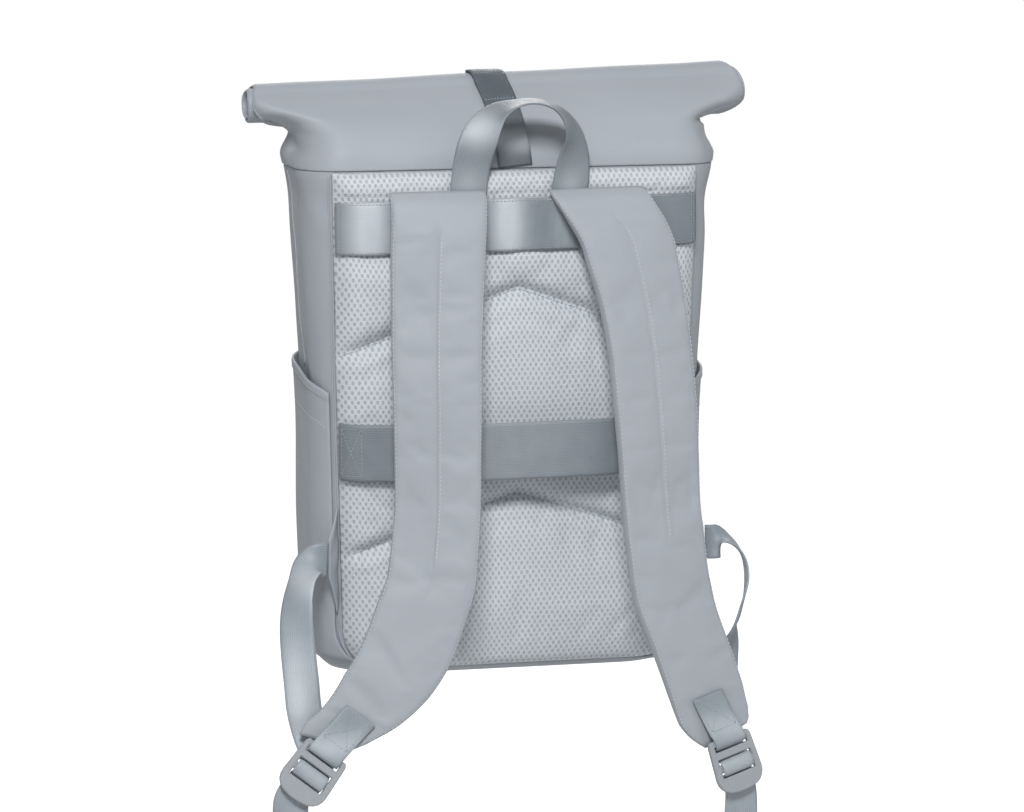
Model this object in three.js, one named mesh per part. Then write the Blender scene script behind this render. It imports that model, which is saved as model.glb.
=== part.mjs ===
// A roll-top laptop backpack with a padded mesh back, two shoulder straps and a sleeve band
// behind which a luggage handle passes. Millimetres, +Z up, the back panel faces -Y.
// Every table is measured from the middle of the bag's base at its back face. The whole is then
// moved so that the origin lies in the middle of the sleeve.
import * as THREE from 'three';

// Driving dimensions of the bag
const bodyWidth = 294;
const bodyDepth = 116;
const seamHeight = 366;
const collarRise = 65;
const wall = 1.5;
const backCorner = 34;
const frontCorner = 42;
const frontCrown = 7;

// Rolled top
const rollWidth = 370;
const rollRadius = 17.8;
const rollTurns = 1.7;
const rollMiddle = 62;
const rollTaper = 0.16;
const slit = 0.8;
const turnGap = 0.6;

// Back panel
const panelTopWidth = bodyWidth * 0.908;
const panelBottomWidth = bodyWidth * 0.86;
const panelThick = 13;
const panelCorner = 30;
const panelFoot = 6;
const chevronSlope = 0.36;

// Straps, webbing and fittings
const clearance = 0.35;
const seatGap = 0.8;
const webbing = 25;
const webbingThick = 1.6;
const upperBandWidth = 37;
const trolleyBandWidth = 41;
const sleeveHeight = 168;
const sleeveGap = 21;
const strapWidth = 67;
const strapThick = 12;
const strapReach = 80;
const lockWidth = 37;
const lockLength = 41;
const lockThick = 4.5;
const handleWidth = 27;
const handleRise = 66;
const pocketHeight = 220;
const claspWidth = 34;
const claspLength = 30;
const claspThick = 6;
const claspHeight = 300;
const anchorLength = 60;
const tailLength = 76;

const colours = {
  shell: 0xaab1b9,
  mesh: 0xcdd4dc,
  webbing: 0xa3adb6,
  plastic: 0xa5acb4,
};

function material(colour, roughness) {
  return new THREE.MeshStandardMaterial({ color: colour, roughness, metalness: 0 });
}

const shellCloth = material(colours.shell, 0.62);
const meshCloth = material(colours.mesh, 0.75);
const webbingCloth = material(colours.webbing, 0.45);
const plastic = material(colours.plastic, 0.4);

const group = new THREE.Group();

function addPiece(name, geometry, finish) {
  const piece = new THREE.Mesh(geometry, finish);
  piece.name = name;
  group.add(piece);
  return piece;
}

// Shared geometry

function lerp(a, b, t) {
  return a + (b - a) * t;
}

function vector(x, y, z) {
  return new THREE.Vector3(x, y, z);
}

function radians(degrees) {
  return THREE.MathUtils.degToRad(degrees);
}

// Value of one column of a table at a place along another column, in straight steps
function column(rows, along, name, place) {
  if (place <= rows[0][along]) return rows[0][name];
  for (let i = 1; i < rows.length; i += 1) {
    if (place <= rows[i][along]) {
      const share = (place - rows[i - 1][along]) / (rows[i][along] - rows[i - 1][along]);
      return lerp(rows[i - 1][name], rows[i][name], share);
    }
  }
  return rows[rows.length - 1][name];
}

function signedVolume(points, faces) {
  const cross = new THREE.Vector3();
  let sum = 0;
  for (const [a, b, c] of faces) {
    cross.crossVectors(points[b], points[c]);
    sum += points[a].dot(cross);
  }
  return sum / 6;
}

// One closed skin over rings of equal, even length. A looped skin runs on from its last ring to
// its first. Otherwise each end is closed by quads that join the ring's first half to its second.
function loft(rings, looped = false) {
  const size = rings[0].length;
  const points = rings.flat();
  const faces = [];
  for (let r = 0; r < rings.length - (looped ? 0 : 1); r += 1) {
    const after = (r + 1) % rings.length;
    for (let i = 0; i < size; i += 1) {
      const next = (i + 1) % size;
      const a = r * size + i;
      const b = r * size + next;
      const c = after * size + next;
      const d = after * size + i;
      faces.push([a, b, c], [a, c, d]);
    }
  }
  const last = (rings.length - 1) * size;
  for (let i = 0; i < size / 2 - 1 && !looped; i += 1) {
    const a = i;
    const b = i + 1;
    const c = size - 2 - i;
    const d = size - 1 - i;
    faces.push([a, c, b], [a, d, c]);
    faces.push([last + a, last + b, last + c], [last + a, last + c, last + d]);
  }
  if (signedVolume(points, faces) < 0) {
    for (const face of faces) face.reverse();
  }
  const geometry = new THREE.BufferGeometry();
  geometry.setAttribute('position', new THREE.Float32BufferAttribute(points.flatMap((p) => p.toArray()), 3));
  geometry.setIndex(faces.flat());
  geometry.computeVertexNormals();
  return geometry;
}

// Outlines of a strap's cross-section, in half widths and half thicknesses, inner face first
const flatProfile = [[-1, -1], [1, -1], [1, 1], [-1, 1]];
const paddedProfile = [
  [-1, -0.3], [-0.93, -0.85], [-0.5, -1], [0, -1], [0.5, -1], [0.93, -0.85], [1, -0.3],
  [1, 0.3], [0.93, 0.8], [0.03, 0.85], [-0.02, 1.05], [-0.5, 1], [-0.93, 0.85], [-1, 0.3],
];

// A strap along stations. A station has at (its middle), width, thick, and either face (which way
// its outer side looks) or across (the direction of its width).
function strap(stations, profile, stepsPerSpan) {
  const curve = new THREE.CatmullRomCurve3(stations.map((s) => s.at), false, 'centripetal');
  const spans = stations.length - 1;
  const count = spans * stepsPerSpan;
  const rings = [];
  for (let i = 0; i <= count; i += 1) {
    const t = i / count;
    const index = Math.min(Math.floor(t * spans), spans - 1);
    const share = t * spans - index;
    const from = stations[index];
    const to = stations[index + 1];
    const middle = curve.getPoint(t);
    const tangent = curve.getTangent(t);
    let across;
    let outward;
    if (from.across) {
      across = from.across.clone().lerp(to.across, share).normalize();
      outward = across.clone().cross(tangent).normalize();
    } else {
      const face = from.face.clone().lerp(to.face, share);
      across = tangent.clone().cross(face).normalize();
      outward = across.clone().cross(tangent).normalize();
    }
    const halfWidth = lerp(from.width, to.width, share) / 2;
    const halfThick = lerp(from.thick, to.thick, share) / 2;
    rings.push(profile.map(([u, v]) => middle.clone()
      .addScaledVector(across, u * halfWidth)
      .addScaledVector(outward, v * halfThick)));
  }
  return loft(rings);
}

// Bag body: rows from the base to the collar seam
// up: share of seamHeight, wide: of bodyWidth, back and front: of bodyDepth from the back face
const bodyRows = [
  { up: 0.0, wide: 0.79, back: 0.1, front: 0.9 },
  { up: 0.01, wide: 0.89, back: 0.05, front: 0.95 },
  { up: 0.032, wide: 0.938, back: 0.02, front: 0.98 },
  { up: 0.07, wide: 0.96, back: 0.0, front: 1.0 },
  { up: 0.13, wide: 0.968, back: 0.0, front: 1.01 },
  { up: 0.3, wide: 0.973, back: 0.0, front: 1.035 },
  { up: 0.5, wide: 0.975, back: 0.0, front: 1.04 },
  { up: 0.62, wide: 0.985, back: 0.0, front: 1.03 },
  { up: 0.7, wide: 0.997, back: 0.0, front: 1.02 },
  { up: 0.83, wide: 1.012, back: 0.0, front: 1.0 },
  { up: 0.92, wide: 1.03, back: 0.0, front: 0.98 },
  { up: 1.0, wide: 1.062, back: 0.01, front: 0.945 },
];

// Collar: rows from the seam to the roll
// wide: share of rollWidth. The back and front edges are in rollRadius from the roll's middle.
const neckRows = [
  { wide: 0.857, backY: -3.29, backZ: -1.92, frontY: 2.53, frontZ: -2.09 },
  { wide: 0.841, backY: -2.89, backZ: -1.19, frontY: 2.02, frontZ: -1.44 },
  { wide: 0.892, backY: -2.36, backZ: -0.57, frontY: 0.9, frontZ: -1.16 },
  { wide: 0.957, backY: -1.8, backZ: -0.08, frontY: -0.34, frontZ: -0.99 },
  { wide: 0.989, backY: -1.29, backZ: 0.29, frontY: -0.92, frontZ: -0.25 },
];

const stepsPerTurn = 12;
const rollStart = 55;
const rollMiddleZ = seamHeight + collarRise - rollRadius;
const sheetThick = 2 * wall + slit;
const turnPitch = sheetThick + turnGap;

// Radius of the rolled sheet's middle after a turn of so many degrees from where it starts
function rollRadiusAt(turned) {
  return rollRadius - sheetThick / 2 + turnPitch * (rollStart - turned) / 360;
}

function rollPoint(turned, offset) {
  const angle = radians(rollStart - turned);
  const radius = rollRadiusAt(turned) + offset;
  return { y: rollMiddle - radius * Math.sin(angle), z: rollMiddleZ + radius * Math.cos(angle) };
}

// The roll is looser at its right end, so heights above its underside grow from left to right
function looser(point) {
  const underside = rollMiddleZ - rollRadius;
  if (point.z <= underside) return point;
  const factor = 1 + rollTaper * point.x / (rollWidth / 2);
  return vector(point.x, point.y, underside + (point.z - underside) * factor);
}

// Dents in the collar and the body: where they lie, their reach, and how deep they go in
// x: share of bodyWidth / 2, y: of bodyDepth, z: of seamHeight, reach and deep: of backCorner
const dents = [
  { x: -1.03, y: 0.16, z: 1.045, reachX: 0.5, reachZ: 0.42, deep: 0.2 },
  { x: 1.04, y: 0.14, z: 1.06, reachX: 0.3, reachZ: 0.5, deep: 0.16 },
  { x: -1.0, y: 0.3, z: 0.96, reachX: 0.7, reachZ: 0.5, deep: 0.08 },
  { x: 1.0, y: 0.3, z: 0.93, reachX: 0.7, reachZ: 0.6, deep: 0.08 },
  { x: -0.96, y: 0.55, z: 0.62, reachX: 0.8, reachZ: 1.4, deep: 0.05 },
  { x: 0.5, y: 1.0, z: 0.3, reachX: 1.6, reachZ: 1.2, deep: 0.08 },
  { x: -0.5, y: 1.0, z: 0.72, reachX: 1.5, reachZ: 1.0, deep: 0.08 },
];

function dented(point) {
  const inward = vector(-point.x / bodyWidth * 2, 0.5 - point.y / bodyDepth, 0);
  if (inward.length() < 0.2) return point;
  inward.normalize();
  let push = 0;
  for (const dent of dents) {
    const dx = (point.x - dent.x * bodyWidth / 2) / (dent.reachX * backCorner);
    const dy = (point.y - dent.y * bodyDepth) / (1.2 * backCorner);
    const dz = (point.z - dent.z * seamHeight) / (dent.reachZ * backCorner);
    push += dent.deep * backCorner * Math.exp(-(dx * dx + dy * dy + dz * dz));
  }
  return point.clone().addScaledVector(inward, push);
}

// Outline of one section: across in u from -half to half, and in v from 0 at the back to deep
const faceSteps = 8;
const cornerSteps = 3;
const sideSteps = 2;

function sectionOutline(half, deep, cornerBack, cornerFront, crown) {
  const back = Math.min(cornerBack, deep / 2);
  const front = Math.min(cornerFront, deep / 2);
  const outline = [];
  for (let i = 0; i < faceSteps; i += 1) {
    outline.push([lerp(-(half - back), half - back, i / faceSteps), 0]);
  }
  for (let i = 0; i < cornerSteps; i += 1) {
    const angle = radians(90 * i / cornerSteps);
    outline.push([half - back + back * Math.sin(angle), back - back * Math.cos(angle)]);
  }
  for (let i = 0; i < sideSteps; i += 1) {
    outline.push([half, lerp(back, deep - front, i / sideSteps)]);
  }
  for (let i = 0; i < cornerSteps; i += 1) {
    const angle = radians(90 * i / cornerSteps);
    outline.push([half - front + front * Math.cos(angle), deep - front + front * Math.sin(angle)]);
  }
  for (let i = 0; i < faceSteps; i += 1) {
    const share = lerp(1, -1, i / faceSteps);
    outline.push([(half - front) * share, deep + crown * (1 - share * share)]);
  }
  for (let i = 0; i < cornerSteps; i += 1) {
    const angle = radians(90 * i / cornerSteps);
    outline.push([-(half - front) - front * Math.sin(angle), deep - front + front * Math.cos(angle)]);
  }
  for (let i = 0; i < sideSteps; i += 1) {
    outline.push([-half, lerp(deep - front, back, i / sideSteps)]);
  }
  for (let i = 0; i < cornerSteps; i += 1) {
    const angle = radians(90 * i / cornerSteps);
    outline.push([-(half - back) - back * Math.cos(angle), back - back * Math.sin(angle)]);
  }
  return outline;
}

// The body's sections, as edges in the side view, from the base to the collar seam
function bodySections() {
  return bodyRows.map((row) => ({
    half: row.wide * bodyWidth / 2,
    back: [row.back * bodyDepth, row.up * seamHeight],
    front: [row.front * bodyDepth, row.up * seamHeight],
    crown: frontCrown * Math.sin(Math.PI * Math.min(1, row.up + 0.02)),
  }));
}

// The collar's sections, from the seam up to the roll and round it
function collarSections() {
  const seam = bodySections().pop();
  seam.back = [seam.back[0], seam.back[1] + clearance];
  seam.front = [seam.front[0], seam.front[1] + clearance];
  const sections = [seam];
  for (const row of neckRows) {
    sections.push({
      half: row.wide * rollWidth / 2,
      back: [rollMiddle + row.backY * rollRadius, rollMiddleZ + row.backZ * rollRadius],
      front: [rollMiddle + row.frontY * rollRadius, rollMiddleZ + row.frontZ * rollRadius],
      crown: 0,
    });
  }
  const steps = Math.round(rollTurns * stepsPerTurn);
  for (let i = 0; i <= steps; i += 1) {
    const turned = 360 * i / stepsPerTurn;
    const outer = rollPoint(turned, sheetThick / 2);
    const inner = rollPoint(turned, -sheetThick / 2);
    sections.push({
      half: rollWidth / 2,
      back: [outer.y, outer.z],
      front: [inner.y, inner.z],
      crown: 0,
    });
  }
  return sections;
}

// Ring of one section, drawn in by inset and raised by lift
function sectionRing(section, inset, lift) {
  const along = vector(0, section.front[0] - section.back[0], section.front[1] - section.back[1]);
  const deep = along.length() - 2 * inset;
  along.normalize();
  const start = vector(0, section.back[0], section.back[1] + lift).addScaledVector(along, inset);
  return sectionOutline(section.half - inset, deep, backCorner - inset, frontCorner - inset, section.crown)
    .map(([u, v]) => looser(dented(start.clone().addScaledVector(along, v).add(vector(u, 0, 0)))));
}

function bodyGeometry() {
  const sections = bodySections();
  const outer = sections.map((section) => sectionRing(section, 0, 0));
  const inner = sections.map((section, i) => {
    const next = sections[Math.min(i + 1, sections.length - 1)];
    const widening = next.half - section.half;
    const rising = Math.max(next.back[1] - section.back[1], 0.01);
    const slope = Math.hypot(widening, rising);
    const isBase = i < 4;
    return isBase
      ? sectionRing(section, wall * rising / slope, wall * widening / slope)
      : sectionRing(section, wall, 0);
  });
  return loft([...outer, ...inner.reverse()]);
}

// The collar is open at the seam and at its mouth, inside the roll
function collarGeometry() {
  const sections = collarSections();
  const outer = sections.map((section) => sectionRing(section, 0, 0));
  const inner = sections.map((section) => sectionRing(section, wall, 0));
  return loft([...outer, ...inner.reverse()], true);
}

// Where the body's outside lies between its base and the collar seam

function bodyHalf(z) {
  return column(bodyRows, 'up', 'wide', z / seamHeight) * bodyWidth / 2;
}

function backSurface(x, z) {
  const back = column(bodyRows, 'up', 'back', z / seamHeight) * bodyDepth;
  const past = Math.abs(x) - (bodyHalf(z) - backCorner);
  if (past <= 0) return back;
  return back + backCorner - Math.sqrt(Math.max(backCorner ** 2 - past ** 2, 0));
}

function frontSurface(z) {
  const crown = frontCrown * Math.sin(Math.PI * Math.min(1, z / seamHeight + 0.02));
  return column(bodyRows, 'up', 'front', z / seamHeight) * bodyDepth + crown;
}

// A point on the body's side outline, so far along it from the start of the back corner
function sideSurface(along, z, offset) {
  const half = bodyHalf(z);
  const back = column(bodyRows, 'up', 'back', z / seamHeight) * bodyDepth;
  const front = column(bodyRows, 'up', 'front', z / seamHeight) * bodyDepth;
  const backArc = backCorner * Math.PI / 2;
  const straight = front - back - backCorner - frontCorner;
  if (along < backArc) {
    const angle = along / backCorner;
    return vector(
      half - backCorner + (backCorner + offset) * Math.sin(angle),
      back + backCorner - (backCorner + offset) * Math.cos(angle),
      z,
    );
  }
  if (along < backArc + straight) return vector(half + offset, back + backCorner + along - backArc, z);
  const angle = (along - backArc - straight) / frontCorner;
  return vector(
    half - frontCorner + (frontCorner + offset) * Math.cos(angle),
    front - frontCorner + (frontCorner + offset) * Math.sin(angle),
    z,
  );
}

// Back panel: padded rows, bent into chevrons
// up: share of seamHeight at the middle, bend: share of chevronSlope, puff: share of panelThick
const panelRows = [
  { up: panelFoot / seamHeight, bend: 0, puff: 0.3 },
  { up: 0.028, bend: 0, puff: 0.62 },
  { up: 0.07, bend: 0.1, puff: 0.85 },
  { up: 0.14, bend: 0.4, puff: 1.0 },
  { up: 0.24, bend: 0.8, puff: 0.98 },
  { up: 0.33, bend: 0.94, puff: 0.84 },
  { up: 0.349, bend: 0.94, puff: 0.6 },
  { up: 0.36, bend: 0.94, puff: 0.42 },
  { up: 0.371, bend: 0.95, puff: 0.6 },
  { up: 0.391, bend: 0.96, puff: 0.86 },
  { up: 0.46, bend: 0.97, puff: 1.0 },
  { up: 0.58, bend: 0.98, puff: 1.0 },
  { up: 0.68, bend: 1.0, puff: 0.98 },
  { up: 0.734, bend: 1.0, puff: 0.86 },
  { up: 0.754, bend: 1.0, puff: 0.6 },
  { up: 0.765, bend: 1.0, puff: 0.42 },
  { up: 0.776, bend: 1.0, puff: 0.6 },
  { up: 0.796, bend: 0.9, puff: 0.88 },
  { up: 0.835, bend: 0.4, puff: 0.86 },
  { up: 0.87, bend: 0.1, puff: 0.75 },
  { up: 0.951, bend: 0, puff: 0.72 },
  { up: 0.964, bend: 0, puff: 0.9 },
  { up: 0.978, bend: 0, puff: 0.95 },
  { up: 0.992, bend: 0, puff: 0.72 },
  { up: 0.998, bend: 0, puff: 0.4 },
];

// side: share of the panel's half width, fall: share of the puff that is left there
const panelColumns = [
  { side: -1, fall: 0.3 }, { side: -0.975, fall: 0.6 }, { side: -0.94, fall: 0.8 },
  { side: -0.88, fall: 0.94 }, { side: -0.8, fall: 1 }, { side: -0.6, fall: 1 },
  { side: -0.4, fall: 1 }, { side: -0.2, fall: 1 }, { side: -0.06, fall: 1 },
  { side: 0.06, fall: 1 }, { side: 0.2, fall: 1 }, { side: 0.4, fall: 1 }, { side: 0.6, fall: 1 },
  { side: 0.8, fall: 1 }, { side: 0.88, fall: 0.94 }, { side: 0.94, fall: 0.8 },
  { side: 0.975, fall: 0.6 }, { side: 1, fall: 0.3 },
];

function panelHalf(z) {
  const half = lerp(panelBottomWidth, panelTopWidth, z / seamHeight) / 2;
  const low = panelFoot + panelCorner - z;
  if (low <= 0) return half;
  return half - panelCorner + Math.sqrt(Math.max(panelCorner ** 2 - low ** 2, 0));
}

function panelGeometry() {
  const rings = panelRows.map((row) => {
    const front = [];
    const back = [];
    for (const { side, fall } of panelColumns) {
      const centreZ = row.up * seamHeight;
      const rough = side * panelHalf(centreZ);
      const z = centreZ - row.bend * chevronSlope * Math.abs(rough);
      const x = side * panelHalf(z);
      const seat = backSurface(x, z) - seatGap;
      back.push(vector(x, seat, z));
      front.push(vector(x, seat - 1 - (panelThick * row.puff - 1) * fall, z));
    }
    return [...front, ...back.reverse()];
  });
  return loft(rings);
}

// Webbing bands across the panel
// x: share of the panel's half width there, out: distance from the back face in panelThick
const upperBandRows = [
  { x: -0.995, out: 0.34 }, { x: -0.965, out: 0.66 }, { x: -0.9, out: 0.92 }, { x: -0.75, out: 1.12 },
  { x: -0.5, out: 1.17 }, { x: -0.2, out: 1.28 }, { x: 0.1, out: 1.29 }, { x: 0.35, out: 1.2 },
  { x: 0.6, out: 1.14 }, { x: 0.8, out: 1.05 }, { x: 0.91, out: 0.91 }, { x: 0.965, out: 0.66 },
  { x: 0.995, out: 0.34 },
];

// gap: share of sleeveGap by which the band stands off the panel there
const trolleyBandRows = [
  { x: -1.002, gap: -0.54 }, { x: -0.97, gap: -0.2 }, { x: -0.9, gap: 0.12 }, { x: -0.75, gap: 0.4 },
  { x: -0.55, gap: 0.88 }, { x: -0.45, gap: 1.0 }, { x: -0.2, gap: 1.04 }, { x: 0.2, gap: 1.04 },
  { x: 0.45, gap: 1.0 }, { x: 0.55, gap: 0.88 }, { x: 0.75, gap: 0.4 }, { x: 0.9, gap: 0.12 },
  { x: 0.97, gap: -0.2 }, { x: 1.002, gap: -0.54 },
];

const upperBandHeight = seamHeight * 0.895;
const bandRise = 0.008;

function bandGeometry(rows, height, width, outOf) {
  const half = panelHalf(height);
  const stations = rows.map((row) => ({
    at: vector(row.x * half, -outOf(row), height + bandRise * row.x * half),
    face: vector(0, -1, 0),
    width,
    thick: webbingThick,
  }));
  return strap(stations, flatProfile, 1);
}

// Shoulder straps
// x: share of bodyWidth / 2, out: of strapReach, z: of seamHeight, wide: of strapWidth,
// thick: of strapThick, tilt: how the width leans from level, in degrees
const strapRows = {
  left: [
    { x: -0.413, out: 0.212, z: 0.961, wide: 1.04, thick: 0.3, tilt: 0 },
    { x: -0.416, out: 0.29, z: 0.94, wide: 1.03, thick: 0.6, tilt: 0 },
    { x: -0.421, out: 0.335, z: 0.905, wide: 1.02, thick: 0.9, tilt: 0 },
    { x: -0.43, out: 0.372, z: 0.855, wide: 1.01, thick: 1, tilt: 0 },
    { x: -0.442, out: 0.44, z: 0.758, wide: 0.98, thick: 1, tilt: 0 },
    { x: -0.455, out: 0.52, z: 0.66, wide: 0.96, thick: 1, tilt: 0 },
    { x: -0.462, out: 0.6, z: 0.566, wide: 0.945, thick: 1, tilt: 0 },
    { x: -0.468, out: 0.65, z: 0.455, wide: 0.92, thick: 1, tilt: 0 },
    { x: -0.474, out: 0.69, z: 0.36, wide: 0.915, thick: 1, tilt: -1 },
    { x: -0.494, out: 0.735, z: 0.284, wide: 0.93, thick: 1, tilt: -5 },
    { x: -0.522, out: 0.79, z: 0.213, wide: 0.945, thick: 1, tilt: -10 },
    { x: -0.574, out: 0.83, z: 0.161, wide: 0.955, thick: 1, tilt: -15 },
    { x: -0.655, out: 0.885, z: 0.086, wide: 0.955, thick: 0.98, tilt: -16 },
    { x: -0.756, out: 0.93, z: 0.027, wide: 0.92, thick: 0.92, tilt: -17 },
    { x: -0.886, out: 0.965, z: -0.027, wide: 0.8, thick: 0.8, tilt: -17 },
    { x: -1.014, out: 0.99, z: -0.06, wide: 0.69, thick: 0.55, tilt: -17 },
    { x: -1.062, out: 1.0, z: -0.073, wide: 0.58, thick: 0.4, tilt: -17 },
  ],
  right: [
    { x: 0.375, out: 0.212, z: 0.961, wide: 1.04, thick: 0.3, tilt: 1 },
    { x: 0.4, out: 0.29, z: 0.942, wide: 1.06, thick: 0.6, tilt: 1 },
    { x: 0.455, out: 0.335, z: 0.905, wide: 1.07, thick: 0.9, tilt: 1 },
    { x: 0.509, out: 0.372, z: 0.86, wide: 1.06, thick: 1, tilt: 0 },
    { x: 0.538, out: 0.405, z: 0.81, wide: 1.04, thick: 1, tilt: 0 },
    { x: 0.572, out: 0.445, z: 0.746, wide: 1.0, thick: 1, tilt: 0 },
    { x: 0.6, out: 0.53, z: 0.65, wide: 0.975, thick: 1, tilt: 0 },
    { x: 0.616, out: 0.6, z: 0.552, wide: 0.97, thick: 1, tilt: 0 },
    { x: 0.628, out: 0.65, z: 0.455, wide: 0.94, thick: 1, tilt: 0 },
    { x: 0.636, out: 0.69, z: 0.358, wide: 0.92, thick: 1, tilt: 0 },
    { x: 0.655, out: 0.76, z: 0.255, wide: 0.92, thick: 1, tilt: 0 },
    { x: 0.683, out: 0.825, z: 0.165, wide: 0.925, thick: 1, tilt: 0 },
    { x: 0.762, out: 0.9, z: 0.069, wide: 0.9, thick: 0.96, tilt: 1 },
    { x: 0.825, out: 0.955, z: -0.009, wide: 0.88, thick: 0.85, tilt: 5 },
    { x: 0.867, out: 0.985, z: -0.063, wide: 0.83, thick: 0.65, tilt: 11 },
    { x: 0.893, out: 0.997, z: -0.086, wide: 0.73, thick: 0.5, tilt: 13 },
    { x: 0.925, out: 1.0, z: -0.102, wide: 0.56, thick: 0.4, tilt: 24 },
  ],
};

// The strap's outer edge turns back by this much, less so where it is sewn on
const strapTurn = 13;
const turnRows = [
  { out: 0.2, share: 0 }, { out: 0.29, share: 0.1 }, { out: 0.335, share: 0.3 },
  { out: 0.37, share: 0.55 }, { out: 0.44, share: 0.85 }, { out: 0.52, share: 1 },
];

// Direction across a strap that leans by tilt and turns by turn, towards +X, in degrees
function acrossStrap(tilt, turn) {
  return vector(
    Math.cos(radians(tilt)) * Math.cos(radians(turn)),
    Math.cos(radians(tilt)) * Math.sin(radians(turn)),
    Math.sin(radians(tilt)),
  );
}

function strapStations(side, rows) {
  const turn = side === 'left' ? -strapTurn : strapTurn;
  return rows.map((row) => ({
    at: vector(row.x * bodyWidth / 2, -row.out * strapReach, row.z * seamHeight),
    across: acrossStrap(row.tilt, turn * column(turnRows, 'out', 'share', row.out)).negate(),
    width: row.wide * strapWidth,
    thick: row.thick * strapThick,
  }));
}

// Ends of the shoulder straps: a webbing tab on the strap's outer face, and a ladder lock in it.
// lean: the way down, in degrees from straight down towards +X
const strapEnds = {
  left: { x: -0.974, z: -0.051, lean: -44, lockLean: -37 },
  right: { x: 0.867, z: -0.055, lean: 24, lockLean: 15 },
};
const tabLength = 32;
const tabOut = strapReach + strapThick * 0.25 + webbingThick / 2 + clearance + 2;

// Local axes of a strap end: across, down, and out towards the viewer
function endFrame(side, lean, pitch) {
  const across = acrossStrap(lean, side === 'left' ? -strapTurn : strapTurn);
  const straight = vector(Math.sin(radians(lean)), -Math.sin(radians(pitch)), -Math.cos(radians(lean)));
  const down = straight.addScaledVector(across, -straight.dot(across)).normalize();
  const out = down.clone().cross(across).normalize();
  return { across, down, out };
}

function inFrame(origin, frame, u, v, w) {
  return origin.clone()
    .addScaledVector(frame.across, u)
    .addScaledVector(frame.down, v)
    .addScaledVector(frame.out, w);
}

// The lock's plate from its top bar down: lengths of bars and slots
const topBar = 4.5;
const tabSlot = 4;
const upperBar = 5.5;
const slotHeight = 4.2;
const lowerBar = 5.5;
const slotWidth = webbing + 1.6;
const lowerBarTop = topBar + tabSlot + upperBar + slotHeight;
const lipTop = lowerBarTop + lowerBar + slotHeight;

function lockGeometry() {
  const half = lockWidth / 2;
  const shape = new THREE.Shape();
  shape.moveTo(-half * 0.84, 0);
  shape.lineTo(half * 0.84, 0);
  shape.quadraticCurveTo(half * 0.94, -2, half * 0.94, -5);
  shape.lineTo(half, -lipTop);
  shape.quadraticCurveTo(half, -lockLength + 5, half * 0.6, -lockLength + 1.5);
  shape.quadraticCurveTo(0, -lockLength - 1.5, -half * 0.6, -lockLength + 1.5);
  shape.quadraticCurveTo(-half, -lockLength + 5, -half, -lipTop);
  shape.lineTo(-half * 0.94, -5);
  shape.quadraticCurveTo(-half * 0.94, -2, -half * 0.84, 0);
  const slots = [
    [topBar, tabSlot],
    [topBar + tabSlot + upperBar, slotHeight],
    [lowerBarTop + lowerBar, slotHeight],
  ];
  for (const [top, height] of slots) {
    const slot = new THREE.Path();
    slot.moveTo(-slotWidth / 2, -top);
    slot.lineTo(-slotWidth / 2, -top - height);
    slot.lineTo(slotWidth / 2, -top - height);
    slot.lineTo(slotWidth / 2, -top);
    slot.lineTo(-slotWidth / 2, -top);
    shape.holes.push(slot);
  }
  const bevel = 0.8;
  const geometry = new THREE.ExtrudeGeometry(shape, {
    depth: lockThick - 2 * bevel,
    bevelThickness: bevel,
    bevelSize: bevel,
    bevelOffset: -bevel,
    bevelSegments: 1,
    curveSegments: 4,
  });
  geometry.translate(0, 0, -(lockThick - 2 * bevel) / 2);
  return geometry;
}

function placeLock(side, end) {
  const tab = endFrame(side, end.lean, 4);
  const frame = endFrame(side, end.lockLean, 6);
  const start = vector(end.x * bodyWidth / 2, -tabOut, end.z * seamHeight);
  const top = inFrame(start, tab, 0, tabLength / 2 + webbingThick + clearance, 0);
  const lock = addPiece(`ladder_lock_${side}`, lockGeometry(), plastic);
  const basis = new THREE.Matrix4().makeBasis(frame.across, frame.down.clone().negate(), frame.out);
  lock.quaternion.setFromRotationMatrix(basis);
  lock.position.copy(top);
  return { top, frame, tab, start };
}

// How far webbing's middle lies from a lock's middle
const lockReach = lockThick / 2 + clearance + webbingThick / 2;

// The tab lies on the strap, goes over the lock's top bar and comes back behind it
function tabStations(place) {
  const { top, frame, tab, start } = place;
  const slotMiddle = topBar + tabSlot / 2;
  const wide = { width: webbing, thick: webbingThick };
  const points = [
    inFrame(start, tab, 0, -tabLength / 2, 0.2),
    inFrame(start, tab, 0, 0, 0.1),
    inFrame(start, tab, 0, tabLength / 2 - 3.5, 1.4),
    inFrame(top, frame, 0, 1.2, lockReach),
    inFrame(top, frame, 0, topBar - 0.6, lockReach),
    inFrame(top, frame, 0, slotMiddle, 0.6),
    inFrame(top, frame, 0, slotMiddle - 0.1, -1.4),
    inFrame(top, frame, 0, topBar - 0.8, -lockReach),
    inFrame(top, frame, 0, 1.6, -lockReach - 0.1),
  ];
  return points.map((at) => ({ at, across: frame.across.clone().negate(), ...wide }));
}

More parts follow.
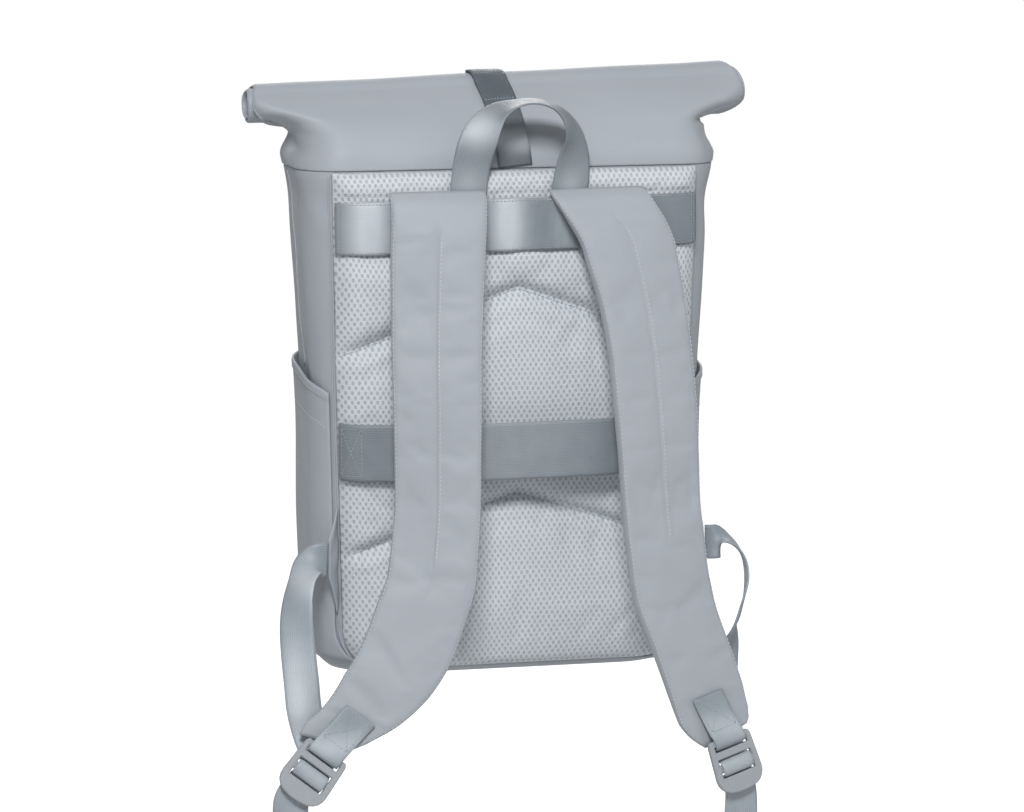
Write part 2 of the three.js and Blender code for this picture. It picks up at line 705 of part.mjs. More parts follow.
// Adjuster webbing, from the wing tab at the side seam down to the lock, through it, and hanging
// x: share of bodyWidth / 2, out: of strapReach, z: of seamHeight, face: which way its outer side looks
const adjusterRows = {
  left: [
    { x: -0.95, out: 0.058, z: 0.243, face: [0, -1, 0] },
    { x: -0.985, out: 0.08, z: 0.2435, face: [-0.1, -1, 0.1] },
    { x: -1.044, out: 0.13, z: 0.236, face: [-0.4, -0.7, 0.5] },
    { x: -1.085, out: 0.2, z: 0.214, face: [-0.6, -0.45, 0.65] },
    { x: -1.118, out: 0.3, z: 0.187, face: [-0.6, -0.5, 0.5] },
    { x: -1.14, out: 0.42, z: 0.143, face: [-0.5, -0.75, 0.4] },
    { x: -1.146, out: 0.56, z: 0.083, face: [-0.3, -0.9, 0.3] },
    { x: -1.146, out: 0.7, z: 0.03, face: [-0.2, -0.95, 0.2] },
    { x: -1.143, out: 0.8, z: -0.02, face: [-0.1, -1, 0.1] },
    { x: -1.12, out: 0.86, z: -0.064, face: [-0.15, -1, 0.4] },
    { x: -1.1, out: 0.95, z: -0.094, face: [-0.2, -0.8, 0.6] },
  ],
  right: [
    { x: 0.962, out: 0.05, z: 0.246, face: [0, -1, 0] },
    { x: 1.0, out: 0.08, z: 0.2465, face: [0.2, -0.95, 0.1] },
    { x: 1.055, out: 0.14, z: 0.251, face: [0.45, -0.35, 0.8] },
    { x: 1.105, out: 0.23, z: 0.236, face: [0.7, -0.05, 0.7] },
    { x: 1.126, out: 0.33, z: 0.208, face: [0.95, -0.05, 0.3] },
    { x: 1.118, out: 0.43, z: 0.176, face: [1, -0.1, 0.05] },
    { x: 1.082, out: 0.54, z: 0.142, face: [1, -0.15, 0] },
    { x: 1.03, out: 0.65, z: 0.107, face: [0.95, -0.3, -0.1] },
    { x: 0.99, out: 0.625, z: 0.055, face: [0.55, -0.85, 0] },
    { x: 0.962, out: 0.72, z: -0.01, face: [0.35, -0.9, 0] },
    { x: 0.95, out: 0.81, z: -0.065, face: [0.2, -1, 0.2] },
    { x: 0.945, out: 0.93, z: -0.12, face: [0.15, -0.8, 0.5] },
  ],
};

// Way through the lock. down: from the lower bar's top edge, in slotHeight. out: from the lock's
// middle, in lockReach.
const weaveRows = [
  { down: -1.1, out: -1.47 }, { down: -0.64, out: -0.94 }, { down: -0.52, out: -0.41 },
  { down: -0.52, out: 0.41 }, { down: -0.14, out: 0.88 }, { down: 0.38, out: 1.1 },
  { down: 0.93, out: 1.1 }, { down: 1.45, out: 0.88 }, { down: 1.83, out: 0.41 },
  { down: 1.83, out: -0.41 }, { down: 2.17, out: -1.0 }, { down: 3.12, out: -1.15 },
  { down: 5.43, out: -1.76 },
];

function adjusterStations(side, place) {
  const { top, frame } = place;
  const wide = { width: webbing, thick: webbingThick };
  const stations = adjusterRows[side].map((row) => ({
    at: vector(row.x * bodyWidth / 2, -row.out * strapReach, row.z * seamHeight),
    face: vector(...row.face).normalize(),
    ...wide,
  }));
  const weave = weaveRows.map(
    (row) => inFrame(top, frame, 0, lowerBarTop + row.down * slotHeight, row.out * lockReach),
  );
  for (const at of weave) stations.push({ at, face: frame.out.clone(), ...wide });
  const last = weave[weave.length - 1];
  const swing = side === 'left' ? -0.06 : 0;
  for (const share of [0.25, 0.5, 0.75, 1]) {
    stations.push({
      at: vector(
        last.x + (swing * share + Math.sin(radians(side === 'left' ? -20 : 8)) * 0.2 * share) * tailLength * 0.6,
        last.y - 1.5 * share,
        last.z - tailLength * share,
      ),
      face: vector(side === 'left' ? -0.35 : 0.05, -1, 0).normalize(),
      ...wide,
    });
  }
  return stations;
}

// Wing tabs: a fabric triangle from the side seam out to the adjuster webbing
// tall: height there, in webbing widths
const wingRows = [
  { share: 0, tall: 3.1 }, { share: 0.45, tall: 2.1 }, { share: 1, tall: 1.12 },
];
const wingThick = 2.2;
const wingLow = 0.235;
const wingGap = 1.6;

function wingStations(side) {
  const sign = side === 'left' ? -1 : 1;
  const first = adjusterRows[side][0];
  const tipX = first.x * bodyWidth / 2 - sign * wingGap;
  const seamX = sign * (panelHalf(wingLow * seamHeight + wingRows[0].tall * webbing / 2) + 2 * seatGap);
  const seamY = backSurface(seamX, wingLow * seamHeight) - wingThick / 2 - clearance - 0.8;
  return wingRows.map(({ share, tall }) => ({
    at: vector(
      lerp(seamX, tipX, share),
      lerp(seamY, -first.out * strapReach, share),
      lerp(wingLow, first.z, share) * seamHeight,
    ),
    across: vector(0, 0, 1),
    width: tall * webbing,
    thick: wingThick,
  }));
}

// Grab handle, an arch of webbing above the strap tops
// x: share of bodyWidth / 2, out: of strapReach, rise: of handleRise above the handle's foot
const handleRows = [
  { x: -0.258, out: 0.176, rise: 0.0, face: [0, -1, 0] },
  { x: -0.252, out: 0.2, rise: 0.2, face: [0, -1, 0] },
  { x: -0.238, out: 0.225, rise: 0.42, face: [-0.12, -1, 0] },
  { x: -0.215, out: 0.25, rise: 0.6, face: [-0.3, -0.9, 0.2] },
  { x: -0.175, out: 0.27, rise: 0.77, face: [-0.5, -0.65, 0.5] },
  { x: -0.11, out: 0.28, rise: 0.92, face: [-0.4, -0.3, 0.85] },
  { x: -0.02, out: 0.28, rise: 0.99, face: [-0.05, -0.08, 1] },
  { x: 0.07, out: 0.28, rise: 1.0, face: [0.1, -0.08, 1] },
  { x: 0.15, out: 0.27, rise: 0.94, face: [0.5, -0.15, 0.8] },
  { x: 0.22, out: 0.25, rise: 0.8, face: [0.8, -0.4, 0.4] },
  { x: 0.26, out: 0.23, rise: 0.6, face: [0.7, -0.7, 0.1] },
  { x: 0.262, out: 0.21, rise: 0.42, face: [0.4, -0.9, 0] },
  { x: 0.256, out: 0.195, rise: 0.22, face: [0.15, -1, 0] },
  { x: 0.245, out: 0.176, rise: 0.0, face: [0, -1, 0] },
];
const handleFoot = seamHeight * 0.953;

function handleStations() {
  return handleRows.map((row) => ({
    at: vector(row.x * bodyWidth / 2, -row.out * strapReach, handleFoot + row.rise * handleRise),
    face: vector(...row.face).normalize(),
    width: handleWidth,
    thick: webbingThick,
  }));
}

// Closure strap: up the collar from the seam, over the roll, down the front to the clasp
const closureLean = -0.14;
const closureRise = 1.6;

function closureStations() {
  const stand = clearance + webbingThick / 2 + 0.2;
  const sections = collarSections().slice(0, neckRows.length + 1);
  const path = sections.map((section, i) => {
    const next = sections[i + 1] || { back: [rollPoint(0, sheetThick / 2).y, rollPoint(0, sheetThick / 2).z] };
    const along = vector(0, next.back[0] - section.back[0], next.back[1] - section.back[1]).normalize();
    return vector(0, section.back[0] - along.z * stand, section.back[1] + along.y * stand);
  });
  path[0].z += clearance + 1;
  for (let turned = 0; turned <= 120; turned += 30) {
    const p = rollPoint(turned, sheetThick / 2 + stand + 0.4);
    path.push(vector(0, p.y, p.z));
  }
  const shoulder = neckRows[1];
  path.push(vector(0, rollMiddle + (shoulder.frontY - 0.25) * rollRadius, rollMiddleZ + (shoulder.frontZ + 0.62) * rollRadius));
  const low = neckRows[0];
  path.push(vector(0, rollMiddle + (low.frontY + 0.28) * rollRadius, rollMiddleZ + low.frontZ * rollRadius));
  const claspTop = claspHeight + claspLength / 2 + clearance;
  for (const share of [0.82, 0.4, 0]) {
    const z = lerp(claspTop, seamHeight, share);
    path.push(vector(0, frontSurface(z) + stand + closureRise, z));
  }
  const crest = path.findIndex((p) => p.z === Math.max(...path.map((q) => q.z)));
  return path.map((p, i) => {
    const before = path[Math.max(i - 1, 0)];
    const after = path[Math.min(i + 1, path.length - 1)];
    const along = after.clone().sub(before).normalize();
    const leaning = i <= crest ? i / crest : Math.max(0, 1 - (i - crest) / (path.length - 4 - crest));
    const x = closureLean * collarRise * leaning;
    return {
      at: looser(vector(x, p.y, p.z)),
      face: vector(0, -along.z, along.y),
      width: webbing,
      thick: webbingThick,
    };
  });
}

function claspGeometry() {
  const half = claspWidth / 2;
  const rounding = 4;
  const shape = new THREE.Shape();
  shape.moveTo(-half + rounding, -claspLength / 2);
  shape.lineTo(half - rounding, -claspLength / 2);
  shape.quadraticCurveTo(half, -claspLength / 2, half, -claspLength / 2 + rounding);
  shape.lineTo(half, claspLength / 2 - rounding);
  shape.quadraticCurveTo(half, claspLength / 2, half - rounding, claspLength / 2);
  shape.lineTo(-half + rounding, claspLength / 2);
  shape.quadraticCurveTo(-half, claspLength / 2, -half, claspLength / 2 - rounding);
  shape.lineTo(-half, -claspLength / 2 + rounding);
  shape.quadraticCurveTo(-half, -claspLength / 2, -half + rounding, -claspLength / 2);
  const bevel = 1.2;
  const geometry = new THREE.ExtrudeGeometry(shape, {
    depth: claspThick - 2 * bevel,
    bevelThickness: bevel,
    bevelSize: bevel,
    bevelOffset: -bevel,
    bevelSegments: 1,
    curveSegments: 3,
  });
  geometry.translate(0, 0, -(claspThick - 2 * bevel) / 2);
  return geometry;
}

// Side pockets: thin walls that hug the sides, a little open at the mouth
// up: share of pocketHeight, stand: distance off the body in walls
const pocketRows = [
  { up: 0.053, stand: 0.6 }, { up: 0.117, stand: 0.65 }, { up: 0.216, stand: 0.7 },
  { up: 0.5, stand: 0.75 }, { up: 0.832, stand: 0.9 }, { up: 0.93, stand: 1.2 }, { up: 1.0, stand: 1.6 },
];
const pocketColumns = [0, 0.1, 0.2, 0.3, 0.42, 0.54, 0.66, 0.8, 0.92, 1];
const pocketSlope = 0.055;
const pocketSeam = 3.4;

function pocketGeometry(side) {
  const sign = side === 'left' ? -1 : 1;
  const last = backCorner * Math.PI / 2 + (bodyDepth - backCorner - frontCorner) + frontCorner * 0.7;
  const rings = pocketRows.map((row) => {
    const outer = [];
    const inner = [];
    for (const share of pocketColumns) {
      const z = row.up * pocketHeight * (1 + pocketSlope * (share - 0.5) * row.up);
      const seam = (panelHalf(z) + pocketSeam - bodyHalf(z) + backCorner) / backCorner;
      const held = 1 - Math.abs(2 * share - 1) ** 3;
      const stand = wall * lerp(pocketRows[0].stand, row.stand, held);
      const along = lerp(backCorner * Math.asin(seam), last, share);
      const out = sideSurface(along, z, stand + wall);
      const skin = sideSurface(along, z, stand);
      outer.push(vector(sign * out.x, out.y, out.z));
      inner.push(vector(sign * skin.x, skin.y, skin.z));
    }
    return [...outer, ...inner.reverse()];
  });
  return loft(rings);
}

// The whole backpack

addPiece('bag_body', bodyGeometry(), shellCloth);
addPiece('rolled_collar', collarGeometry(), shellCloth);
addPiece('back_panel', panelGeometry(), meshCloth);
addPiece(
  'upper_band',
  bandGeometry(upperBandRows, upperBandHeight, upperBandWidth, (row) => row.out * panelThick),
  webbingCloth,
);
addPiece(
  'trolley_band',
  bandGeometry(
    trolleyBandRows,
    sleeveHeight,
    trolleyBandWidth,
    (row) => panelThick + seatGap + clearance + webbingThick / 2 + row.gap * sleeveGap,
  ),
  webbingCloth,
);
for (const side of ['left', 'right']) {
  addPiece(`side_pocket_${side}`, pocketGeometry(side), shellCloth);
  addPiece(`shoulder_strap_${side}`, strap(strapStations(side, strapRows[side]), paddedProfile, 2), shellCloth);
  const place = placeLock(side, strapEnds[side]);
  addPiece(`strap_tab_${side}`, strap(tabStations(place), flatProfile, 2), webbingCloth);
  addPiece(`wing_tab_${side}`, strap(wingStations(side), flatProfile, 2), shellCloth);
  addPiece(`adjuster_webbing_${side}`, strap(adjusterStations(side, place), flatProfile, 2), webbingCloth);
}
addPiece('grab_handle', strap(handleStations(), flatProfile, 2), webbingCloth);
addPiece('closure_strap', strap(closureStations(), flatProfile, 2), webbingCloth);

const clasp = addPiece('front_clasp', claspGeometry(), plastic);
const claspBelow = frontSurface(claspHeight - claspLength / 2);
const claspAbove = frontSurface(claspHeight + claspLength / 2);
const claspSeat = (claspBelow + claspAbove) / 2 + 2 * clearance;
clasp.position.set(0, claspSeat + claspThick / 2, claspHeight);
clasp.rotation.set(Math.PI / 2 + Math.atan((claspBelow - claspAbove) / claspLength), 0, 0);

const anchorTop = claspHeight - claspLength / 2 - clearance;
const anchorStations = [0, 0.5, 1].map((share) => {
  const z = anchorTop - anchorLength * share;
  return {
    at: vector(0, frontSurface(z) + clearance + webbingThick / 2 + 0.1, z),
    face: vector(0, 1, 0),
    width: webbing,
    thick: webbingThick,
  };
});
addPiece('clasp_anchor', strap(anchorStations, flatProfile, 1), webbingCloth);

// The origin is the middle of the sleeve between the panel and the trolley band
const sleeveMiddle = panelThick + seatGap + sleeveGap / 2;
group.position.set(0, sleeveMiddle, -sleeveHeight);

export default group;
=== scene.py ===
"""Looks of a roll-top laptop backpack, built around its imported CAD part.

Tables are in the bag's own millimetres: the origin is the middle of the base at the back face,
+Z is up and -Y looks out of the back panel. to_frame() moves them into the part's frame.
"""
import math

import bmesh
import bpy
import numpy as np
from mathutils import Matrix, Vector
from mathutils.bvhtree import BVHTree


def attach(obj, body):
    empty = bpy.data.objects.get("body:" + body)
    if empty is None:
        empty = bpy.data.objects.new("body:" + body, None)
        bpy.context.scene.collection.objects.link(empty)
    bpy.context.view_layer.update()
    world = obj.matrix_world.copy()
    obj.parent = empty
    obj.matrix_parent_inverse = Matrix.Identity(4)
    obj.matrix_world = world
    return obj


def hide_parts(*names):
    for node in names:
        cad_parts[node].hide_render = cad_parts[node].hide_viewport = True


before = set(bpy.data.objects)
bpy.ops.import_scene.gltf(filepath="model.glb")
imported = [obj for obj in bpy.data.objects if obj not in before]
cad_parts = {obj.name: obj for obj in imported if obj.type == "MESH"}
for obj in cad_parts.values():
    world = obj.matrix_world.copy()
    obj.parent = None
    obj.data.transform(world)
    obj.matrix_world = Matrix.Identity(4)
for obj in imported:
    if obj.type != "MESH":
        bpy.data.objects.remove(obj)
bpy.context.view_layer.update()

MM = 0.001
OFFSET = np.array([0.0, 24.3, -168.0])
SEED = 7


def to_frame(points):
    return (np.asarray(points, float) + OFFSET) * MM


def from_frame(points):
    return np.asarray(points) / MM - OFFSET


# Driving sizes, as in the part
WIDTH, DEPTH, SEAM, COLLAR = 294.0, 116.0, 366.0, 65.0
BACK_CORNER, FRONT_CORNER, FRONT_CROWN = 34.0, 42.0, 7.0
ROLL_WIDTH, ROLL_RADIUS, ROLL_MIDDLE = 370.0, 17.8, 62.0
ROLL_START, ROLL_TURNS, ROLL_TAPER = 55.0, 1.7, 0.16
SHEET, ROLL_PITCH = 3.4, 4.6
PANEL_TOP, PANEL_BOTTOM = WIDTH * 0.908, WIDTH * 0.86
PANEL_THICK, PANEL_CORNER, PANEL_FOOT = 13.0, 30.0, 6.0
CHEVRON = 0.36
CLEAR, SEAT = 0.35, 0.8
WEB, WEB_THICK = 25.0, 1.6
UPPER_WIDTH, TROLLEY_WIDTH, SLEEVE_HEIGHT, SLEEVE_GAP = 37.0, 41.0, 168.0, 21.0
STRAP_WIDTH, STRAP_THICK, REACH = 67.0, 12.0, 80.0
HANDLE_WIDTH, HANDLE_RISE = 27.0, 66.0
POCKET_HEIGHT = 220.0
CLASP_HEIGHT, CLASP_LENGTH, ANCHOR_LENGTH = 300.0, 30.0, 60.0
LOCK_LENGTH, LOCK_THICK, TAIL_LENGTH = 41.0, 4.5, 76.0
LOWER_BAR = 18.2
SIDES = {"left": -1, "right": 1}
CLOTH = {
    "quality": 6, "mass": 0.3, "tension_stiffness": 15, "compression_stiffness": 15,
    "shear_stiffness": 5, "bending_stiffness": 0.6, "use_pressure": True,
}
CLOTH_FRAMES = 20


# Curves and surfaces


def held_curve(places, values, at):
    """Smooth values between rows of a table, with no overshoot."""
    places = np.asarray(places, float)
    values = np.asarray(values, float)
    at = np.clip(np.asarray(at, float), places[0], places[-1])
    steps = np.diff(places)
    secants = np.diff(values) / steps
    slopes = np.zeros(len(places))
    slopes[0], slopes[-1] = secants[0], secants[-1]
    same = secants[:-1] * secants[1:] > 0
    inner = np.zeros(len(secants) - 1)
    inner[same] = 2 * secants[:-1][same] * secants[1:][same] / (secants[:-1] + secants[1:])[same]
    slopes[1:-1] = inner
    return hermite(places, values, slopes, at)


def hermite(places, values, slopes, at):
    """A smooth curve through values with these slopes."""
    i = np.clip(np.searchsorted(places, at, side="right") - 1, 0, len(places) - 2)
    step = places[i + 1] - places[i]
    t = (at - places[i]) / step
    if values.ndim > 1:
        t = t[..., None]
        step = step[..., None]
    first = (1 + 2 * t) * (1 - t) ** 2 * values[i] + t * (1 - t) ** 2 * step * slopes[i]
    return first + t * t * (3 - 2 * t) * values[i + 1] + t * t * (t - 1) * step * slopes[i + 1]


def flowing_curve(places, values, at):
    """A smooth line through points."""
    places = np.asarray(places, float)
    values = np.asarray(values, float)
    return hermite(places, values, np.gradient(values, places, axis=0), np.asarray(at, float))


def run_along(points):
    """How far along a line of points each of them lies."""
    return np.r_[0, np.cumsum(np.linalg.norm(np.diff(points, axis=0), axis=1))]


def unit(vectors):
    return vectors / np.maximum(np.linalg.norm(vectors, axis=-1, keepdims=True), 1e-9)


def bump(x, middle, reach):
    """A soft hump of height 1."""
    return np.exp(-((x - middle) / reach) ** 2)


def ramp(x, low, high):
    """From 0 at low to 1 at high, eased at both ends."""
    t = np.clip((x - low) / (high - low), 0, 1)
    return t * t * (3 - 2 * t)


def wavy(points, size, seed):
    """Soft uneven values between about -1 and 1, the same on each run."""
    rng = np.random.default_rng(SEED + seed)
    total = np.zeros(len(points))
    for _ in range(9):
        toward = unit(rng.normal(size=3))
        length = size * rng.uniform(0.7, 1.6)
        total += np.sin(points @ toward * 2 * math.pi / length + rng.uniform(0, 6.28))
    return total / 4.2


def skin(name, rings, around=None, along=None, zones=None):
    """A closed piece over rings of points, in millimetres, with its two ends closed."""
    rings = np.asarray(rings, float)
    rows, size = rings.shape[:2]
    r, c = np.meshgrid(np.arange(rows - 1), np.arange(size), indexing="ij")
    n = (c + 1) % size
    quads = np.stack([r * size + c, r * size + n, (r + 1) * size + n, (r + 1) * size + c], -1)
    quads = quads.reshape(-1, 4)
    around = np.zeros(size + 1) if around is None else np.asarray(around, float)
    along = np.zeros(rows) if along is None else np.asarray(along, float)
    u = np.stack([around[c], around[c + 1], around[c + 1], around[c]], -1).reshape(-1)
    v = np.stack([along[r], along[r], along[r + 1], along[r + 1]], -1).reshape(-1)
    faces = quads.tolist()
    last = (rows - 1) * size
    for i in range(size // 2 - 1):
        a, b, e, d = i, i + 1, size - 2 - i, size - 1 - i
        faces.append([a, b, e, d])
        faces.append([last + a, last + d, last + e, last + b])
    mesh = bpy.data.meshes.new(name)
    mesh.from_pydata(to_frame(rings.reshape(-1, 3)).tolist(), [], faces)
    layer = mesh.uv_layers.new(name="weave")
    uv = np.zeros((len(mesh.loops), 2))
    uv[: len(u), 0] = u
    uv[: len(v), 1] = v
    layer.data.foreach_set("uv", uv.reshape(-1))
    if zones is not None:
        index = np.zeros(len(mesh.polygons), int)
        index[: len(quads)] = np.asarray(zones)[c].reshape(-1)
        mesh.polygons.foreach_set("material_index", index)
    return finish_mesh(name, mesh)


def linked(name, data):
    thing = bpy.data.objects.new(name, data)
    bpy.context.scene.collection.objects.link(thing)
    return thing


def finish_mesh(name, mesh):
    work = bmesh.new()
    work.from_mesh(mesh)
    bmesh.ops.recalc_face_normals(work, faces=work.faces)
    work.to_mesh(mesh)
    work.free()
    mesh.polygons.foreach_set("use_smooth", [True] * len(mesh.polygons))
    return linked(name, mesh)


def mesh_points(mesh):
    """A mesh's points in the bag's millimetres."""
    points = np.zeros(len(mesh.vertices) * 3)
    mesh.vertices.foreach_get("co", points)
    return from_frame(points.reshape(-1, 3))


def points_of(piece):
    return mesh_points(piece.data)


def set_points(piece, points):
    piece.data.vertices.foreach_set("co", to_frame(points).reshape(-1))
    piece.data.update()


def push(piece, amount):
    """Moves a piece's points along their normals by so many millimetres."""
    normals = np.zeros(len(piece.data.vertices) * 3)
    piece.data.vertex_normals.foreach_get("vector", normals)
    set_points(piece, points_of(piece) + normals.reshape(-1, 3) * amount[:, None])


def creases(points, lines):
    """Height of soft folds. A line is two ends, its reach and its height, minus for a valley."""
    total = np.zeros(len(points))
    for start, end, reach, height in lines:
        start = np.array(start, float)
        run = np.array(end, float) - start
        t = np.clip((points - start) @ run / (run @ run), 0, 1)
        gap = np.linalg.norm(points - start - t[:, None] * run, axis=1)
        total += height * np.exp(-(gap / reach) ** 2) * (0.35 + 0.65 * np.sin(math.pi * t))
    return total


def swell(piece, free, pressure, cap, spare):
    """Blows up the free part of a closed piece as cloth, with no gravity, and keeps the result."""
    before = points_of(piece)
    held = piece.vertex_groups.new(name="held")
    for i, share in enumerate(free):
        held.add([i], float(1 - share), "REPLACE")
    cloth = piece.modifiers.new("Cloth", "CLOTH")
    settings = cloth.settings
    for key, value in CLOTH.items():
        setattr(settings, key, value)
    settings.uniform_pressure_force = pressure
    settings.vertex_group_mass = "held"
    settings.shrink_min = -spare
    settings.effector_weights.gravity = 0
    cloth.collision_settings.use_collision = False
    cloth.point_cache.frame_start = 1
    cloth.point_cache.frame_end = CLOTH_FRAMES
    for number in range(1, CLOTH_FRAMES + 1):
        bpy.context.scene.frame_set(number)
    result = piece.evaluated_get(bpy.context.evaluated_depsgraph_get())
    after = mesh_points(result.data)
    piece.modifiers.remove(cloth)
    piece.vertex_groups.remove(held)
    bpy.context.scene.frame_set(1)
    move = (after - before) * np.asarray(free)[:, None]
    length = np.linalg.norm(move, axis=1, keepdims=True)
    move *= np.minimum(1, cap / np.maximum(length, 1e-6))
    set_points(piece, before + move)


# Bag: the body, the collar and the roll
# up, share of WIDTH, back and front as shares of DEPTH
BODY_ROWS = np.array([
    (0.0, 0.79, 0.1, 0.9), (0.01, 0.89, 0.05, 0.95), (0.032, 0.938, 0.02, 0.98),
    (0.07, 0.96, 0.0, 1.0), (0.13, 0.968, 0.0, 1.01), (0.3, 0.973, 0.0, 1.035),
    (0.5, 0.975, 0.0, 1.04), (0.62, 0.985, 0.0, 1.03), (0.7, 0.997, 0.0, 1.02),
    (0.83, 1.012, 0.0, 1.0), (0.92, 1.03, 0.0, 0.98), (1.0, 1.062, 0.01, 0.945),
])
# share of ROLL_WIDTH, then back y, z and front y, z in ROLL_RADIUS from the roll's middle
NECK_ROWS = np.array([
    (0.857, -3.29, -1.92, 2.53, -2.09), (0.841, -2.89, -1.19, 2.02, -1.44),
    (0.892, -2.36, -0.57, 0.9, -1.16), (0.957, -1.8, -0.08, -0.34, -0.99),
    (0.989, -1.29, 0.29, -0.92, -0.25),
])
# x share of WIDTH / 2, y of DEPTH, z of SEAM, reach in x and z and depth in BACK_CORNER
DENTS = [
    (-1.03, 0.16, 1.045, 0.5, 0.42, 0.2), (1.04, 0.14, 1.06, 0.3, 0.5, 0.16),
    (-1.0, 0.3, 0.96, 0.7, 0.5, 0.08), (1.0, 0.3, 0.93, 0.7, 0.6, 0.08),
    (-0.96, 0.55, 0.62, 0.8, 1.4, 0.05), (0.5, 1.0, 0.3, 1.6, 1.2, 0.08),
    (-0.5, 1.0, 0.72, 1.5, 1.0, 0.08),
]
ROLL_Z = SEAM + COLLAR - ROLL_RADIUS
# The roll's inner turns stick out of its outer turn by this much
OUTER_TURN = 3.0
# The body may swell past this x, and the neck turns into the roll between these heights
PANEL_SIDE, NECK_TOP = 128, (388, 404)
# The collar's lower edge stands out over the body by a lip, above a groove
LIP, GROOVE = 0.75, 0.9
# How far the roll's ends are rounded off at the top and tucked in below
ROUND_LEFT, ROUND_RIGHT, TUCK_RIGHT = 7, 15, 19


def body_column(number, z):
    return np.interp(np.asarray(z, float) / SEAM, BODY_ROWS[:, 0], BODY_ROWS[:, number])


def body_half(z):
    return body_column(1, z) * WIDTH / 2


def back_surface(x, z):
    past = np.clip(np.abs(x) - (body_half(z) - BACK_CORNER), 0, BACK_CORNER)
    return body_column(2, z) * DEPTH + BACK_CORNER - np.sqrt(BACK_CORNER ** 2 - past ** 2)


def front_surface(z):
    crown = FRONT_CROWN * np.sin(np.pi * np.minimum(1, z / SEAM + 0.02))
    return body_column(3, z) * DEPTH + crown


def outline(half, deep, back, front, crown, face=46, corner=8):
    """A rounded section in x and y: the back, the right side, the front and the left side."""
    back, front = min(back, deep / 2), min(front, deep / 2)
    arc = [math.pi / 2 * i / corner for i in range(corner)]
    shares = [1 - 2 * i / face for i in range(face)]
    rows = [(-(half - back) + 2 * (half - back) * i / face, 0) for i in range(face)]
    rows += [(half - back + back * math.sin(a), back - back * math.cos(a)) for a in arc]
    rows += [(half, back + (deep - front - back) * i / corner) for i in range(corner)]
    rows += [(half - front + front * math.cos(a), deep - front + front * math.sin(a)) for a in arc]
    rows += [((half - front) * share, deep + crown * (1 - share * share)) for share in shares]
    rows += [(-(half - front) - front * math.sin(a), deep - front + front * math.cos(a)) for a in arc]
    rows += [(-half, deep - front + (back - deep + front) * i / corner) for i in range(corner)]
    rows += [(-(half - back) - back * math.cos(a), back - back * math.sin(a)) for a in arc]
    return np.array(rows)


def dented(points):
    """Presses the dents into a section's points."""
    inward = np.stack([-points[:, 0] / WIDTH * 2, 0.5 - points[:, 1] / DEPTH, 0 * points[:, 0]], 1)
    far = np.linalg.norm(inward, axis=1) >= 0.2
    total = np.zeros(len(points))
    for x, y, z, reach_x, reach_z, deep in DENTS:
        gap = ((points[:, 0] - x * WIDTH / 2) / (reach_x * BACK_CORNER)) ** 2
        gap += ((points[:, 1] - y * DEPTH) / (1.2 * BACK_CORNER)) ** 2
        gap += ((points[:, 2] - z * SEAM) / (reach_z * BACK_CORNER)) ** 2
        total += deep * BACK_CORNER * np.exp(-gap)
    return points + unit(inward) * (total * far)[:, None]


def looser(points):
    """Makes the roll thicker towards its right end."""
    under = ROLL_Z - ROLL_RADIUS
    factor = 1 + ROLL_TAPER * points[:, 0] / (ROLL_WIDTH / 2)
    z = np.where(points[:, 2] > under, under + (points[:, 2] - under) * factor, points[:, 2])
    return np.stack([points[:, 0], points[:, 1], z], 1)


def roll_point(turned, offset):
    """y and z on the roll's spiral, so many degrees from its start."""
    a = math.radians(ROLL_START - turned)
    radius = ROLL_RADIUS - SHEET / 2 + ROLL_PITCH * (ROLL_START - turned) / 360 * 0.8 + offset
    return ROLL_MIDDLE - radius * math.sin(a), ROLL_Z + radius * math.cos(a)


def bag_sections():
    """Half width, back and front edge in y and z, and crown of each section, from the base up."""
    rows = []
    low = np.r_[0.0, 0.004, 0.01, 0.02, 0.032, 0.045, 0.058, 0.07]
    seam_ups = 1 + np.array([-2.0, -1.0, -0.5, -0.2, 0.0]) / SEAM
    for up in np.r_[low, np.linspace(0.085, 0.985, 69), seam_ups]:
        half = held_curve(BODY_ROWS[:, 0], BODY_ROWS[:, 1], up) * WIDTH / 2
        back = held_curve(BODY_ROWS[:, 0], BODY_ROWS[:, 2], up) * DEPTH
        front = held_curve(BODY_ROWS[:, 0], BODY_ROWS[:, 3], up) * DEPTH
        crown = FRONT_CROWN * math.sin(math.pi * min(1, up + 0.02))
        rows.append((half, (back, up * SEAM), (front, up * SEAM), crown))
    # The neck starts at the seam's own section and ends at the roll's first
    first = roll_point(0, SHEET / 2)
    inner = roll_point(0, -SHEET / 2)
    table = np.vstack([
        [[rows[-1][0], rows[-1][1][0], SEAM, rows[-1][2][0], SEAM]],
        np.stack([
            NECK_ROWS[:, 0] * ROLL_WIDTH / 2,
            ROLL_MIDDLE + NECK_ROWS[:, 1] * ROLL_RADIUS, ROLL_Z + NECK_ROWS[:, 2] * ROLL_RADIUS,
            ROLL_MIDDLE + NECK_ROWS[:, 3] * ROLL_RADIUS, ROLL_Z + NECK_ROWS[:, 4] * ROLL_RADIUS,
        ], 1),
        [[ROLL_WIDTH / 2, first[0], first[1], inner[0], inner[1]]],
    ])
    places = np.arange(len(table))
    for at in np.r_[0.02, 0.04, 0.08, 0.14, np.linspace(0, len(table) - 1, 32)[1:-1]]:
        half = min(float(held_curve(places, table[:, 0], at)), ROLL_WIDTH / 2 - OUTER_TURN)
        edge = [flowing_curve(places, table[:, k], np.array(at)) for k in (1, 2, 3, 4)]
        rows.append((half, (edge[0], edge[1]), (edge[2], edge[3]), 0))
    for turned in np.arange(0, 360 * ROLL_TURNS, 12):
        half = ROLL_WIDTH / 2 - OUTER_TURN * (1 - ramp(turned, 30, 400))
        rows.append((half, roll_point(turned, SHEET / 2), roll_point(turned, -SHEET / 2), 0))
    return rows


